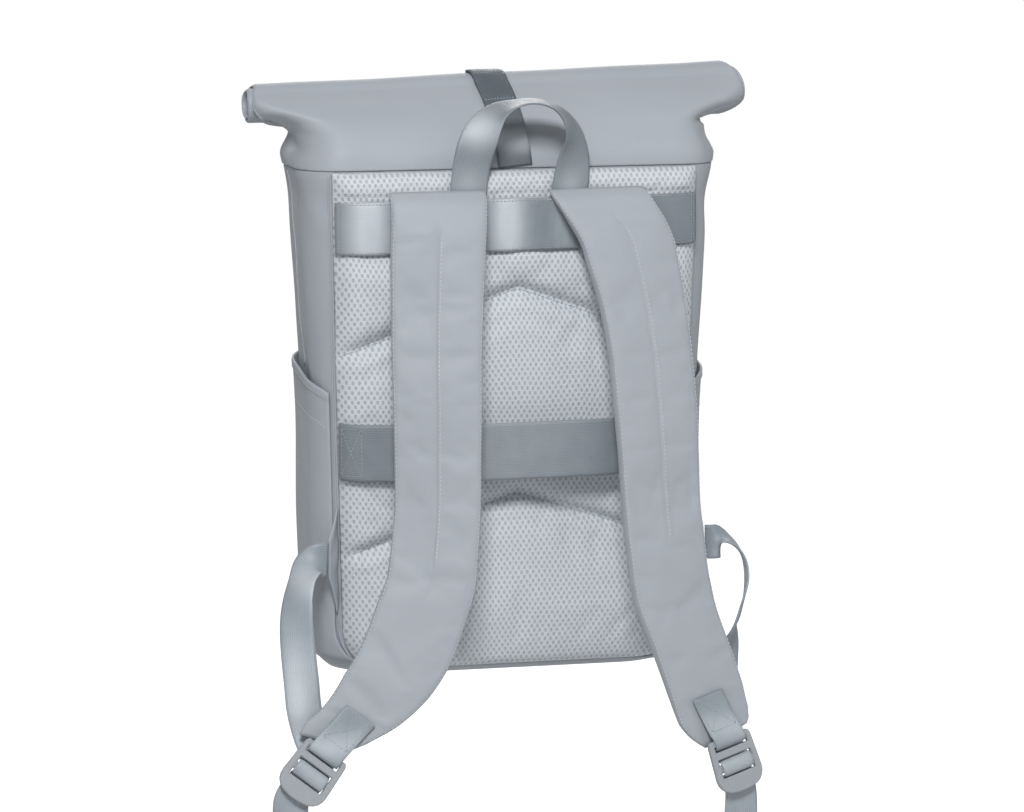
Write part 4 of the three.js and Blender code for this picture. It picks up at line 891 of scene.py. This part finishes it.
closure_piece = ribbon("closure_webbing", closure_line, 13, closure_relief)
anchor_z = [CLASP_HEIGHT - CLASP_LENGTH / 2 - CLEAR - ANCHOR_LENGTH * share for share in (0, 0.5, 1)]
anchor_at = [(0, float(front_surface(z)) + CLEAR + WEB_THICK / 2 + 0.1, z) for z in anchor_z]
anchor_line = way(anchor_at, WEB, WEB_THICK, face=np.tile([0.0, 1.0, 0.0], (3, 1)))
anchor_piece = ribbon("anchor_webbing", anchor_line)


# Side pockets
# up share of POCKET_HEIGHT, distance off the body
POCKET_ROWS = np.array([
    (0.053, 0.9), (0.117, 0.975), (0.216, 1.05), (0.5, 1.125), (0.832, 1.35), (0.93, 1.8), (1.0, 2.4),
])
# The mouth dips this much towards the back panel
POCKET_DIP = 7.0


def pocket_height(up, share):
    """Height of a row of a pocket, at a share of the way from the panel to the front."""
    slope = 1 + 0.055 * (share - 0.5) * up
    return up * POCKET_HEIGHT * slope - POCKET_DIP * up * np.exp(-share / 0.16)


def side_surface(along, z, offset):
    """Points off the right side of the body, so far round from the back face."""
    half, back, front = body_half(z), body_column(2, z) * DEPTH, body_column(3, z) * DEPTH
    back_arc = BACK_CORNER * math.pi / 2
    straight = front - back - BACK_CORNER - FRONT_CORNER
    a = np.clip(along, 0, back_arc) / BACK_CORNER
    b = np.clip((along - back_arc - straight) / FRONT_CORNER, 0, None)
    x = half - BACK_CORNER + (BACK_CORNER + offset) * np.sin(a)
    y = back + BACK_CORNER - (BACK_CORNER + offset) * np.cos(a) + np.clip(along - back_arc, 0, straight)
    x = x - (FRONT_CORNER + offset) * (1 - np.cos(b))
    y = y + (FRONT_CORNER + offset) * np.sin(b)
    return np.stack([x, y, z + 0 * x], -1)


def pocket_rings(sign, columns=44, rows=44):
    """The rings of a pocket's cloth: its outer face and then its inner face."""
    last = BACK_CORNER * math.pi / 2 + (DEPTH - BACK_CORNER - FRONT_CORNER) + FRONT_CORNER * 0.7
    share = np.linspace(0, 1, columns)
    rings = []
    for up in np.r_[np.linspace(0.053, 0.94, rows - 10), np.linspace(0.95, 1.0, 10)]:
        z = pocket_height(up, share)
        seam = (panel_half(z) + 3.4 - body_half(z) + BACK_CORNER) / BACK_CORNER
        held = 1 - np.abs(2 * share - 1) ** 3
        stand = 0.9 + (held_curve(POCKET_ROWS[:, 0], POCKET_ROWS[:, 1], up) - 0.9) * held
        hem = 0.7 * (1 - ramp(abs(up - 0.985), 0.008, 0.02)) + 0.5 * bump(up, 0.875, 0.006)
        along = BACK_CORNER * np.arcsin(np.clip(seam, -1, 1))
        along = along + (last - along) * share
        outer = side_surface(along, z, stand + 1.2 + hem)
        inner = side_surface(along, z, stand)
        ring = np.r_[outer, inner[::-1]]
        ring[:, 0] *= sign
        rings.append(ring)
    return rings


pocket_pieces = {}
for side, sign in SIDES.items():
    piece = skin(f"pocket_cloth_{side}", pocket_rings(sign))
    at = points_of(piece)
    slack = creases(at, [
        ((sign * 150, 40, 180), (sign * 148, 70, 60), 10, 1.2),
        ((sign * 150, 70, 200), (sign * 150, 30, 120), 8, 0.9),
        ((sign * 148, 24, 90), (sign * 140, 14, 30), 7, 1.0),
        ((sign * 148, 90, 150), (sign * 140, 100, 40), 9, 1.1),
    ])
    set_points(piece, at + np.stack([sign * slack, 0 * slack, 0 * slack], 1))
    pocket_pieces[side] = piece


# Locks and clasp: the CAD solids with rounded edges


def rounded_copy(node, name, width):
    """A CAD solid with its edges rounded."""
    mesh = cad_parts[node].data.copy()
    mesh.name = name
    work = bmesh.new()
    work.from_mesh(mesh)
    bmesh.ops.remove_doubles(work, verts=work.verts, dist=2e-6)
    bmesh.ops.dissolve_limit(work, angle_limit=math.radians(2), verts=work.verts, edges=work.edges)
    work.to_mesh(mesh)
    work.free()
    piece = linked(name, mesh)
    bevel = piece.modifiers.new("Bevel", "BEVEL")
    bevel.width = width * MM
    bevel.segments = 3
    bevel.limit_method = "ANGLE"
    bevel.angle_limit = math.radians(28)
    bevel.harden_normals = False
    mesh.polygons.foreach_set("use_smooth", [True] * len(mesh.polygons))
    normals = piece.modifiers.new("Normals", "WEIGHTED_NORMAL")
    normals.keep_sharp = True
    return piece


lock_pieces = {side: rounded_copy(f"ladder_lock_{side}", f"lock_{side}", 0.45) for side in SIDES}
clasp_piece = rounded_copy("front_clasp", "clasp", 0.5)


# Thread and seams


def tree_of(piece):
    """What finds the spots on a piece's surface."""
    mesh = piece.evaluated_get(bpy.context.evaluated_depsgraph_get()).to_mesh()
    spots = [v.co.copy() for v in mesh.vertices]
    return BVHTree.FromPolygons(spots, [tuple(p.vertices) for p in mesh.polygons])


def spaced(points, step):
    """The same line of points with even steps."""
    points = np.asarray(points, float)
    chord = run_along(points)
    s = np.arange(0, chord[-1], step)
    return np.stack([np.interp(s, chord, points[:, k]) for k in range(3)], 1)


def seated(points, tree, toward):
    """Points and normals of the surface in front of each point, looked for from outside."""
    spots, normals = [], []
    for point in to_frame(points):
        start = Vector(point) - Vector(toward) * 0.012
        hit, normal, _, _ = tree.ray_cast(start, Vector(toward), 0.03)
        if hit is None:
            hit, normal, _, _ = tree.find_nearest(Vector(point))
        if normal.dot(Vector(toward)) > 0:
            normal = -normal
        spots.append(hit)
        normals.append(normal)
    return from_frame(spots), np.array(normals)


def stitch_meshes(name, rows, thick=0.5, length=0.72):
    """Raised stitches. A row is spots on a surface and normals; each stitch spans most of a step."""
    vertices, faces = [], []
    for spots, normals in rows:
        for i in range(len(spots) - 1):
            run = spots[i + 1] - spots[i]
            long = np.linalg.norm(run)
            if long < 0.2:
                continue
            along = run / long
            up = unit(normals[i] - along * (normals[i] @ along))
            sideways = np.cross(up, along)
            middle = (spots[i] + spots[i + 1]) / 2
            base = len(vertices)
            for share, scale in ((-0.5, 0.45), (-0.3, 1.0), (0.3, 1.0), (0.5, 0.45)):
                sink = -0.25 if scale < 1 else 0.12
                for a in range(6):
                    angle = math.pi / 3 * a
                    vertices.append(middle + along * (share * long * length)
                                    + up * (sink * thick + 0.5 * thick * scale * math.sin(angle))
                                    + sideways * (0.5 * thick * scale * math.cos(angle)))
            for ring in range(3):
                for a in range(6):
                    p, q = base + ring * 6 + a, base + ring * 6 + (a + 1) % 6
                    faces.append((p, q, q + 6, p + 6))
            faces.append(tuple(base + a for a in range(6)))
            faces.append(tuple(base + 18 + a for a in range(6)))
    mesh = bpy.data.meshes.new(name)
    mesh.from_pydata(to_frame(np.array(vertices)).tolist(), [], faces)
    return finish_mesh(name, mesh)


def tube(name, points, normals, radius, lift=0.0, sides=8):
    """A thin sewn edge along points of a surface."""
    points = np.asarray(points) + np.asarray(normals) * lift
    tangent = unit(np.gradient(points, axis=0))
    sideways = unit(np.cross(tangent, normals))
    up = unit(np.cross(sideways, tangent))
    a = np.linspace(0, 2 * math.pi, sides, endpoint=False)
    rings = points[:, None] + radius * (up[:, None] * np.sin(a)[None, :, None]
                                        + sideways[:, None] * np.cos(a)[None, :, None])
    return skin(name, rings, np.linspace(0, 2 * math.pi * radius, sides + 1), run_along(points))


INTO = (0.0, 1.0, 0.0)
bag_tree, panel_tree = tree_of(bag), tree_of(panel)
thread_rows = []
dark_rows = []

# Stitches along the chevron seams
for seam_up, bend in CHEVRON_SEAMS.items():
    x = np.linspace(-1, 1, 240) * float(panel_half(seam_up * SEAM)) * 0.985
    z = seam_up * SEAM - chevron_drop(x, bend)
    line = spaced(np.stack([x, 0 * x - 8, z], 1), 3.0)
    dark_rows.append(seated(line, panel_tree, INTO))

# Centre seams and edges of the shoulder straps
strap_trees = {side: tree_of(strap_pieces[side]) for side in strap_pieces}
for side, line in strap_lines.items():
    total = line["s"][-1]
    for u, start, end in ((-0.05, 0.075, 0.635), (0.985, 0.01, 0.985), (-0.985, 0.01, 0.985)):
        keep = (line["s"] >= start * total) & (line["s"] <= end * total)
        lift = line["thick"][:, None] / 2 + 1.0
        points = on_way(line, np.full((len(line["s"]), 1), u), lift)[:, 0][keep]
        thread_rows.append(seated(spaced(points, 3.0), strap_trees[side], INTO))

thread_piece = stitch_meshes("seam_stitches", thread_rows, 0.55)
panel_thread = stitch_meshes("chevron_stitches", dark_rows, 0.6)


def box_stitches(line, low, high, half):
    """A box with a cross, sewn through a strip between two places along it."""
    rows = []
    corners = [(low, -half), (high, -half), (high, half), (low, half), (low, -half)]
    runs = list(zip(corners[:-1], corners[1:]))
    runs += [((low, -half), (high, half)), ((low, half), (high, -half))]
    for (s0, u0), (s1, u1) in runs:
        long = math.hypot(s1 - s0, (u1 - u0) * line["width"].mean() / 2)
        count = max(int(long / 2.6), 2) + 1
        rows.append(strip_row(line, np.linspace(s0, s1, count), np.linspace(u0, u1, count)))
    return rows


def strip_row(line, s, u, relief=None):
    """Spots and normals along a strip, at places s along it and shares u of its half width."""
    middle, across, out = (
        np.stack([np.interp(s, line["s"], line[key][:, k]) for k in range(3)], 1)
        for key in ("middle", "across", "out"))
    half, deep = (np.interp(s, line["s"], line[key]) / 2 for key in ("width", "thick"))
    extra = 0 if relief is None else relief(s, u)
    return middle + across * (u * half)[:, None] + out * (deep + extra)[:, None], unit(out)


webbing_rows = []
webbing_rows += box_stitches(tabs["left"], 2, 27, 0.8)
webbing_rows += box_stitches(tabs["right"], 2, 27, 0.8)
end_s = trolley_line["s"][-1]
webbing_rows += box_stitches(trolley_line, 3.5, 20, 0.82)
webbing_rows += box_stitches(trolley_line, end_s - 20, end_s - 3.5, 0.82)
band_end = upper_line["s"][-1]
across_u = np.linspace(-0.94, 0.94, 16)
for place in (3.5, 6.5, band_middle + 28.5, band_end - 6.5, band_end - 3.5):
    webbing_rows.append(strip_row(upper_line, np.full(16, place), across_u, band_relief))
for u in (-0.93, 0.93):
    s = np.arange(4, band_end - 4, 2.8)
    webbing_rows.append(strip_row(upper_line, s, np.full(len(s), u), band_relief))
for place in (56.5, 85.5):
    webbing_rows.append(strip_row(closure_line, np.full(11, place), np.linspace(-0.9, 0.9, 11)))
webbing_thread = stitch_meshes("webbing_stitches", webbing_rows, 0.5)


# Seams of the bag: round the base, along the panel's edge, up the sides and along the pockets


def loop_at(z):
    """Points and normals all round the bag at one height."""
    spots, normals = [], []
    for a in np.linspace(-math.pi * 0.998, math.pi * 0.998, 260):
        target = Vector(to_frame([0, DEPTH / 2, z]))
        start = target + Vector((math.sin(a) * 0.3, math.cos(a) * 0.3, 0))
        hit, normal, _, _ = bag_tree.ray_cast(start, (target - start).normalized(), 0.5)
        if hit is not None:
            spots.append(hit)
            normals.append(normal)
    return from_frame(spots), np.array(normals)


BASE_SEAM = 13.0
seam_rows = []
spots, normals = loop_at(BASE_SEAM)
seam_pieces = [tube("base_seam", spots, normals, 1.1, 0.1)]


def with_normals(spots, tree):
    """The nearest spots on a surface, and its normals there."""
    found = [tree.find_nearest(Vector(p)) for p in to_frame(spots)]
    return from_frame([f[0] for f in found]), np.array([f[1] for f in found])


BINDING_OUT = 1.6
edge_z = np.linspace(SEAM - 2, PANEL_FOOT + PANEL_CORNER, 90)
edge_x = panel_half(edge_z) + BINDING_OUT
arc = np.linspace(0, math.pi / 2, 22)[1:]
low_half = float(panel_half(PANEL_FOOT + PANEL_CORNER)) + BINDING_OUT - PANEL_CORNER
edge_x = np.r_[edge_x, low_half + PANEL_CORNER * np.cos(arc)]
edge_z = np.r_[edge_z, PANEL_FOOT + PANEL_CORNER - (PANEL_CORNER + 1.2) * np.sin(arc)]
half_edge = np.stack([edge_x, 0 * edge_x, edge_z], 1)
full_edge = np.r_[half_edge * [-1, 1, 1], half_edge[::-1]]
spots, normals = seated(spaced(full_edge, 3.0), bag_tree, INTO)
seam_pieces.append(tube("panel_binding", spots, normals, 0.8, 0.2))
for side, sign in SIDES.items():
    z = np.linspace(POCKET_HEIGHT, SEAM - 3, 60)
    points = np.stack([np.full(60, sign * 160.0), np.full(60, 62.0), z], 1)
    spots, normals = seated(points, bag_tree, (-sign, 0, 0))
    seam_pieces.append(tube(f"side_seam_{side}", spots, normals, 0.7, 0.0))
    pocket_tree = tree_of(pocket_pieces[side])
    for up in (0.87, 0.972):
        share = np.linspace(0.02, 0.98, 60)
        z = pocket_height(up, share)
        y = -2 + 112 * share
        points = np.stack([np.full(60, sign * 150.0), y, z], 1)
        spots, _ = with_normals(points, pocket_tree)
        seam_rows.append(with_normals(spaced(spots, 2.8), pocket_tree))
seam_thread = stitch_meshes("bag_stitches", seam_rows, 0.45)


# Materials


class Recipe:
    """A material's node tree, written as sums of sockets and numbers."""

    def __init__(self, name):
        self.material = bpy.data.materials.new(name)
        self.material.use_nodes = True
        self.tree = self.material.node_tree
        self.shader = self.tree.nodes["Principled BSDF"]

    def node(self, kind, **settings):
        made = self.tree.nodes.new(kind)
        for key, value in settings.items():
            setattr(made, key, value)
        return made

    def put(self, socket, value):
        if isinstance(value, bpy.types.NodeSocket):
            self.tree.links.new(value, socket)
        else:
            socket.default_value = value

    def sum(self, operation, *values):
        made = self.node("ShaderNodeMath", operation=operation)
        for socket, value in zip(made.inputs, values):
            self.put(socket, value)
        return made.outputs[0]

    def added(self, a, much_a, b, much_b):
        """Two values, each times a number, added up."""
        return self.sum("ADD", self.sum("MULTIPLY", a, much_a), self.sum("MULTIPLY", b, much_b))

    def mix(self, share, a, b):
        made = self.node("ShaderNodeMix", data_type="RGBA")
        self.put(made.inputs["Factor"], share)
        self.put(made.inputs[6], a)
        self.put(made.inputs[7], b)
        return made.outputs[2]

    def between(self, value, low, high, to_low=0.0, to_high=1.0):
        made = self.node("ShaderNodeMapRange", interpolation_type="SMOOTHSTEP")
        for socket, number in zip(made.inputs, (value, low, high, to_low, to_high)):
            self.put(socket, number)
        return made.outputs[0]

    def noise(self, coords, scale, detail=2.0, rough=0.5):
        made = self.node("ShaderNodeTexNoise")
        self.put(made.inputs["Vector"], coords)
        made.inputs["Scale"].default_value = scale
        made.inputs["Detail"].default_value = detail
        made.inputs["Roughness"].default_value = rough
        return made.outputs["Fac"]

    def place(self):
        return self.node("ShaderNodeTexCoord").outputs["Object"]

    def raised(self, height, strength, distance):
        made = self.node("ShaderNodeBump")
        made.inputs["Strength"].default_value = strength
        made.inputs["Distance"].default_value = distance
        self.put(made.inputs["Height"], height)
        return made.outputs[0]

    def seen(self, otherwise, directly):
        """One value for what the camera sees directly, another for light that comes off it."""
        path = self.node("ShaderNodeLightPath")
        return self.between(path.outputs["Is Camera Ray"], 0.0, 1.0, otherwise, directly)

    def set(self, **inputs):
        for key, value in inputs.items():
            self.put(self.shader.inputs[key.replace("_", " ")], value)
        return self.material


def coated_cloth(name, light, dark):
    """Matt coated cloth: faint cloudy tone, fine grain and soft unevenness."""
    r = Recipe(name)
    here = r.place()
    cloud = r.noise(here, 9, 3)
    grain = r.noise(here, 1400, 2, 0.6)
    uneven = r.noise(here, 55, 2)
    tone = r.between(r.added(cloud, 0.75, grain, 0.25), 0.3, 0.7)
    height = r.sum("ADD", r.sum("MULTIPLY", grain, 0.12), uneven)
    return r.set(
        Base_Color=r.mix(tone, dark, light), Roughness=r.between(grain, 0.2, 0.8, 0.5, 0.62),
        Normal=r.raised(height, 0.35, 0.0012), Sheen_Weight=0.12, Sheen_Roughness=0.5,
        Specular_IOR_Level=0.35,
    )


# From one hole of the spacer mesh to the next, in millimetres
HOLE_ACROSS, HOLE_UP = 4.2, 6.7


def spacer_mesh(name, light, dark):
    """Knitted spacer mesh: staggered holes between bright yarns, on the XZ plane, with painted shade in
    the holes.
    """
    r = Recipe(name)
    here = r.place()
    bend = r.noise(here, 30, 2)
    parts = r.node("ShaderNodeSeparateXYZ")
    r.put(parts.inputs[0], here)
    x = r.added(parts.outputs[0], 2000 * math.pi / HOLE_ACROSS, bend, 5)
    z = r.added(parts.outputs[2], 2000 * math.pi / HOLE_UP, bend, 4)
    holes = r.sum("MULTIPLY", r.sum("COSINE", x), r.sum("COSINE", z))
    wall = r.between(holes, -0.1, 0.75, 1.0, 0.0)
    yarn = r.noise(here, 1500, 2)
    height = r.sum("ADD", wall, r.sum("MULTIPLY", yarn, 0.2))
    # The holes take the dark colour: painted shade that stands in for the depth of each hole.
    tone = r.sum("MULTIPLY", wall, r.between(yarn, 0.25, 0.75, 0.8, 1.0))
    return r.set(
        Base_Color=r.mix(tone, dark, light), Roughness=0.6,
        Normal=r.raised(height, 0.55, 0.0008), Sheen_Weight=0.25, Sheen_Roughness=0.4,
        Specular_IOR_Level=0.4,
    )


# The tone of webbing where light lies on it
GLEAM = (0.6, 0.65, 0.7, 1)


def woven(name, light, dark, rough, gloss, rib=1.25, column=1.6):
    """Webbing: short floats across it in staggered columns, from its own millimetres."""
    r = Recipe(name)
    weave = r.node("ShaderNodeUVMap", uv_map="weave")
    parts = r.node("ShaderNodeSeparateXYZ")
    r.put(parts.inputs[0], weave.outputs[0])
    here = r.place()
    across, along = parts.outputs[0], parts.outputs[1]
    step = r.sum("FLOOR", r.sum("DIVIDE", across, column))
    shift = r.sum("MULTIPLY", step, 0.5)
    ribs = r.sum("ABSOLUTE", r.sum("SINE", r.sum(
        "MULTIPLY", r.sum("ADD", r.sum("DIVIDE", along, rib), shift), math.pi)))
    cords = r.sum("ABSOLUTE", r.sum("SINE", r.sum("MULTIPLY", across, math.pi / column)))
    height = r.added(ribs, 0.6, cords, 0.4)
    cloud = r.noise(here, 60, 3)
    tone = r.between(r.added(height, 0.6, cloud, 0.4), 0.15, 0.8)
    gleam = r.node("ShaderNodeAttribute", attribute_name="gleam").outputs["Fac"]
    share = r.sum("MULTIPLY", gleam, r.between(tone, 0.0, 1.0, 0.75, 1.0))
    return r.set(
        Base_Color=r.mix(share, r.mix(tone, dark, light), GLEAM), Roughness=rough, Anisotropic=0.4,
        Normal=r.raised(height, 0.45, 0.0003), Sheen_Weight=gloss, Sheen_Roughness=0.3,
        Specular_IOR_Level=0.55,
    )


def moulded(name, light, dark):
    """Moulded plastic: a fine grain under a faint cloudy tone."""
    r = Recipe(name)
    here = r.place()
    grain = r.noise(here, 2600, 2, 0.6)
    cloud = r.noise(here, 40, 2)
    return r.set(
        Base_Color=r.mix(r.between(cloud, 0.3, 0.7), dark, light),
        Roughness=r.between(grain, 0.25, 0.75, 0.32, 0.42),
        Normal=r.raised(grain, 0.12, 0.0002), Specular_IOR_Level=0.5,
    )


def spun(name, light, dark):
    """Thread, with a fine twist."""
    r = Recipe(name)
    here = r.place()
    twist = r.noise(here, 3000, 1)
    return r.set(
        Base_Color=r.mix(r.between(twist, 0.35, 0.65), dark, light), Roughness=0.55,
        Normal=r.raised(twist, 0.4, 0.0003), Sheen_Weight=0.2,
    )


shell_cloth = coated_cloth("shell_cloth", (0.405, 0.438, 0.48, 1), (0.378, 0.41, 0.45, 1))
# The mesh's second colour is the painted shade in its holes.
mesh_cloth = spacer_mesh("spacer_mesh", (0.66, 0.70, 0.745, 1), (0.43, 0.465, 0.505, 1))
web_cloth = woven("webbing_cloth", (0.33, 0.375, 0.42, 1), (0.2, 0.235, 0.27, 1), 0.42, 0.15)
handle_cloth = woven("handle_cloth", (0.25, 0.285, 0.32, 1), (0.15, 0.178, 0.205, 1), 0.42, 0.15)
band_cloth = woven("satin_band_cloth", (0.25, 0.285, 0.32, 1), (0.15, 0.18, 0.21, 1), 0.3, 0.15, 0.9, 1.1)
trolley_cloth = woven("trolley_cloth", (0.25, 0.285, 0.32, 1), (0.13, 0.155, 0.18, 1), 0.5, 0.1)
closure_cloth = woven(
    "closure_cloth", (0.13, 0.155, 0.18, 1), (0.06, 0.075, 0.09, 1), 0.42, 0.1, 1.3, 1.8)
hard_plastic = moulded("moulded_plastic", (0.46, 0.50, 0.545, 1), (0.42, 0.46, 0.505, 1))
pale_thread = spun("pale_thread", (0.66, 0.70, 0.74, 1), (0.5, 0.54, 0.58, 1))
grey_thread = spun("grey_thread", (0.42, 0.46, 0.5, 1), (0.3, 0.335, 0.37, 1))


def shine(piece, spots):
    """Marks where light lies on a piece of webbing: x, z, reach in x and z, and how much."""
    at = points_of(piece)
    total = sum(much * bump(at[:, 0], x, wide) * bump(at[:, 2], z, tall)
                for x, z, wide, tall, much in spots)
    layer = piece.data.attributes.new("gleam", "FLOAT", "POINT")
    layer.data.foreach_set("value", np.clip(total, 0, 1).astype(np.float32))


shine(upper_piece, [(-110, 328, 15, 60, 1.2), (-10, 330, 12, 40, 1.2), (30, 324, 9, 20, 0.35)])
shine(trolley_piece, [(-20, 168, 60, 60, 0.2)])
shine(handle_piece, [(-29, 396, 14, 12, 1.0), (-38, 355, 14, 14, 0.5), (36, 352, 10, 14, 0.5)])
shine(closure_piece, [(0, 387, 40, 8, 1.0)])
shine(anchor_piece, [(0, 260, 20, 16, 0.3)])
for side, sign in SIDES.items():
    shine(adjuster_pieces[side], [(sign * 156, 76, 12, 12, 0.9), (sign * 172, 0, 9, 40, 0.7),
                                  (sign * 150, -60, 40, 20, 0.5), (sign * 150, -120, 40, 30, 0.3)])
    shine(tab_pieces[side], [(sign * 150, -28, 60, 9, 0.6)])


def declare(piece, materials, nodes=()):
    """Dresses a piece, and says what it rides on and the solids that it replaces."""
    for material in materials:
        piece.data.materials.append(material)
    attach(piece, "root")
    if nodes:
        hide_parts(*nodes)


declare(bag, [shell_cloth], ["bag_body", "rolled_collar"])
declare(panel, [mesh_cloth], ["back_panel"])
declare(upper_piece, [band_cloth], ["upper_band"])
declare(trolley_piece, [trolley_cloth], ["trolley_band"])
declare(handle_piece, [handle_cloth], ["grab_handle"])
declare(closure_piece, [closure_cloth], ["closure_strap"])
declare(anchor_piece, [web_cloth], ["clasp_anchor"])
declare(clasp_piece, [hard_plastic], ["front_clasp"])
for side in SIDES:
    declare(strap_pieces[side], [shell_cloth, mesh_cloth], [f"shoulder_strap_{side}"])
    declare(tab_pieces[side], [web_cloth], [f"strap_tab_{side}"])
    declare(adjuster_pieces[side], [web_cloth], [f"adjuster_webbing_{side}"])
    declare(wing_pieces[side], [shell_cloth], [f"wing_tab_{side}"])
    declare(pocket_pieces[side], [shell_cloth], [f"side_pocket_{side}"])
    declare(lock_pieces[side], [hard_plastic], [f"ladder_lock_{side}"])
for piece in seam_pieces:
    declare(piece, [shell_cloth])
declare(thread_piece, [pale_thread])
declare(panel_thread, [grey_thread])
declare(webbing_thread, [grey_thread])
declare(seam_thread, [pale_thread])


# Floor, light and camera
FLOOR_HALF, FLOOR_Z = 6, -0.62
floor_mesh = bpy.data.meshes.new("floor")
corners = [(x * FLOOR_HALF, y * FLOOR_HALF, FLOOR_Z) for x, y in ((-1, -1), (1, -1), (1, 1), (-1, 1))]
floor_mesh.from_pydata(corners, [], [(0, 1, 2, 3)])
floor = linked("floor", floor_mesh)
paper = Recipe("pale_floor")
paper_tone = paper.between(paper.noise(paper.place(), 2, 2), 0.3, 0.7)
floor_mesh.materials.append(paper.set(
    Base_Color=paper.mix(paper_tone, (0.68, 0.68, 0.68, 1), (0.7, 0.7, 0.7, 1)), Roughness=0.9,
    Emission_Color=(1, 1, 1, 1), Emission_Strength=paper.seen(0.0, 0.8)))

world = bpy.data.worlds.new("studio")
world.use_nodes = True
sky = world.node_tree.nodes["Background"]
sky.inputs["Color"].default_value = (1.0, 1.0, 1.0, 1)
path = world.node_tree.nodes.new("ShaderNodeLightPath")
level = world.node_tree.nodes.new("ShaderNodeMapRange")
level.inputs["To Min"].default_value, level.inputs["To Max"].default_value = 0.3, 1.0
world.node_tree.links.new(path.outputs["Is Camera Ray"], level.inputs["Value"])
world.node_tree.links.new(level.outputs[0], sky.inputs["Strength"])
bpy.context.scene.world = world


def area_light(name, place, size, power):
    """A soft light that faces the part's origin."""
    data = bpy.data.lights.new(name, "AREA")
    data.shape = "RECTANGLE"
    data.size, data.size_y = size
    data.energy = power
    light = linked(name, data)
    light.location = place
    light.rotation_euler = (-Vector(place)).to_track_quat("-Z", "Y").to_euler()


area_light("key", (-0.6, -2.1, 1.8), (0.7, 0.7), 55)
area_light("fill", (1.9, -1.4, 0.4), (1.0, 1.4), 5)
area_light("back", (0.5, 2.4, 1.2), (1.4, 1.2), 18)

AZIMUTH, ELEVATION = math.radians(13.5), math.radians(8.5)
SENSOR, LENS, CAMERA_AT = 36, 146.48, (-695.26, -2885.26, 638.13)
look = Vector((math.sin(AZIMUTH) * math.cos(ELEVATION), math.cos(AZIMUTH) * math.cos(ELEVATION),
               -math.sin(ELEVATION)))
camera_data = bpy.data.cameras.new("camera")
camera_data.sensor_width = SENSOR
camera_data.lens = LENS
camera_data.clip_start, camera_data.clip_end = 0.05, 60
camera = linked("camera", camera_data)
camera.location = to_frame(CAMERA_AT)
camera.rotation_euler = look.to_track_quat("-Z", "Y").to_euler()
bpy.context.scene.camera = camera
bpy.context.scene.view_settings.view_transform = "Standard"

bpy.context.view_layer.update()
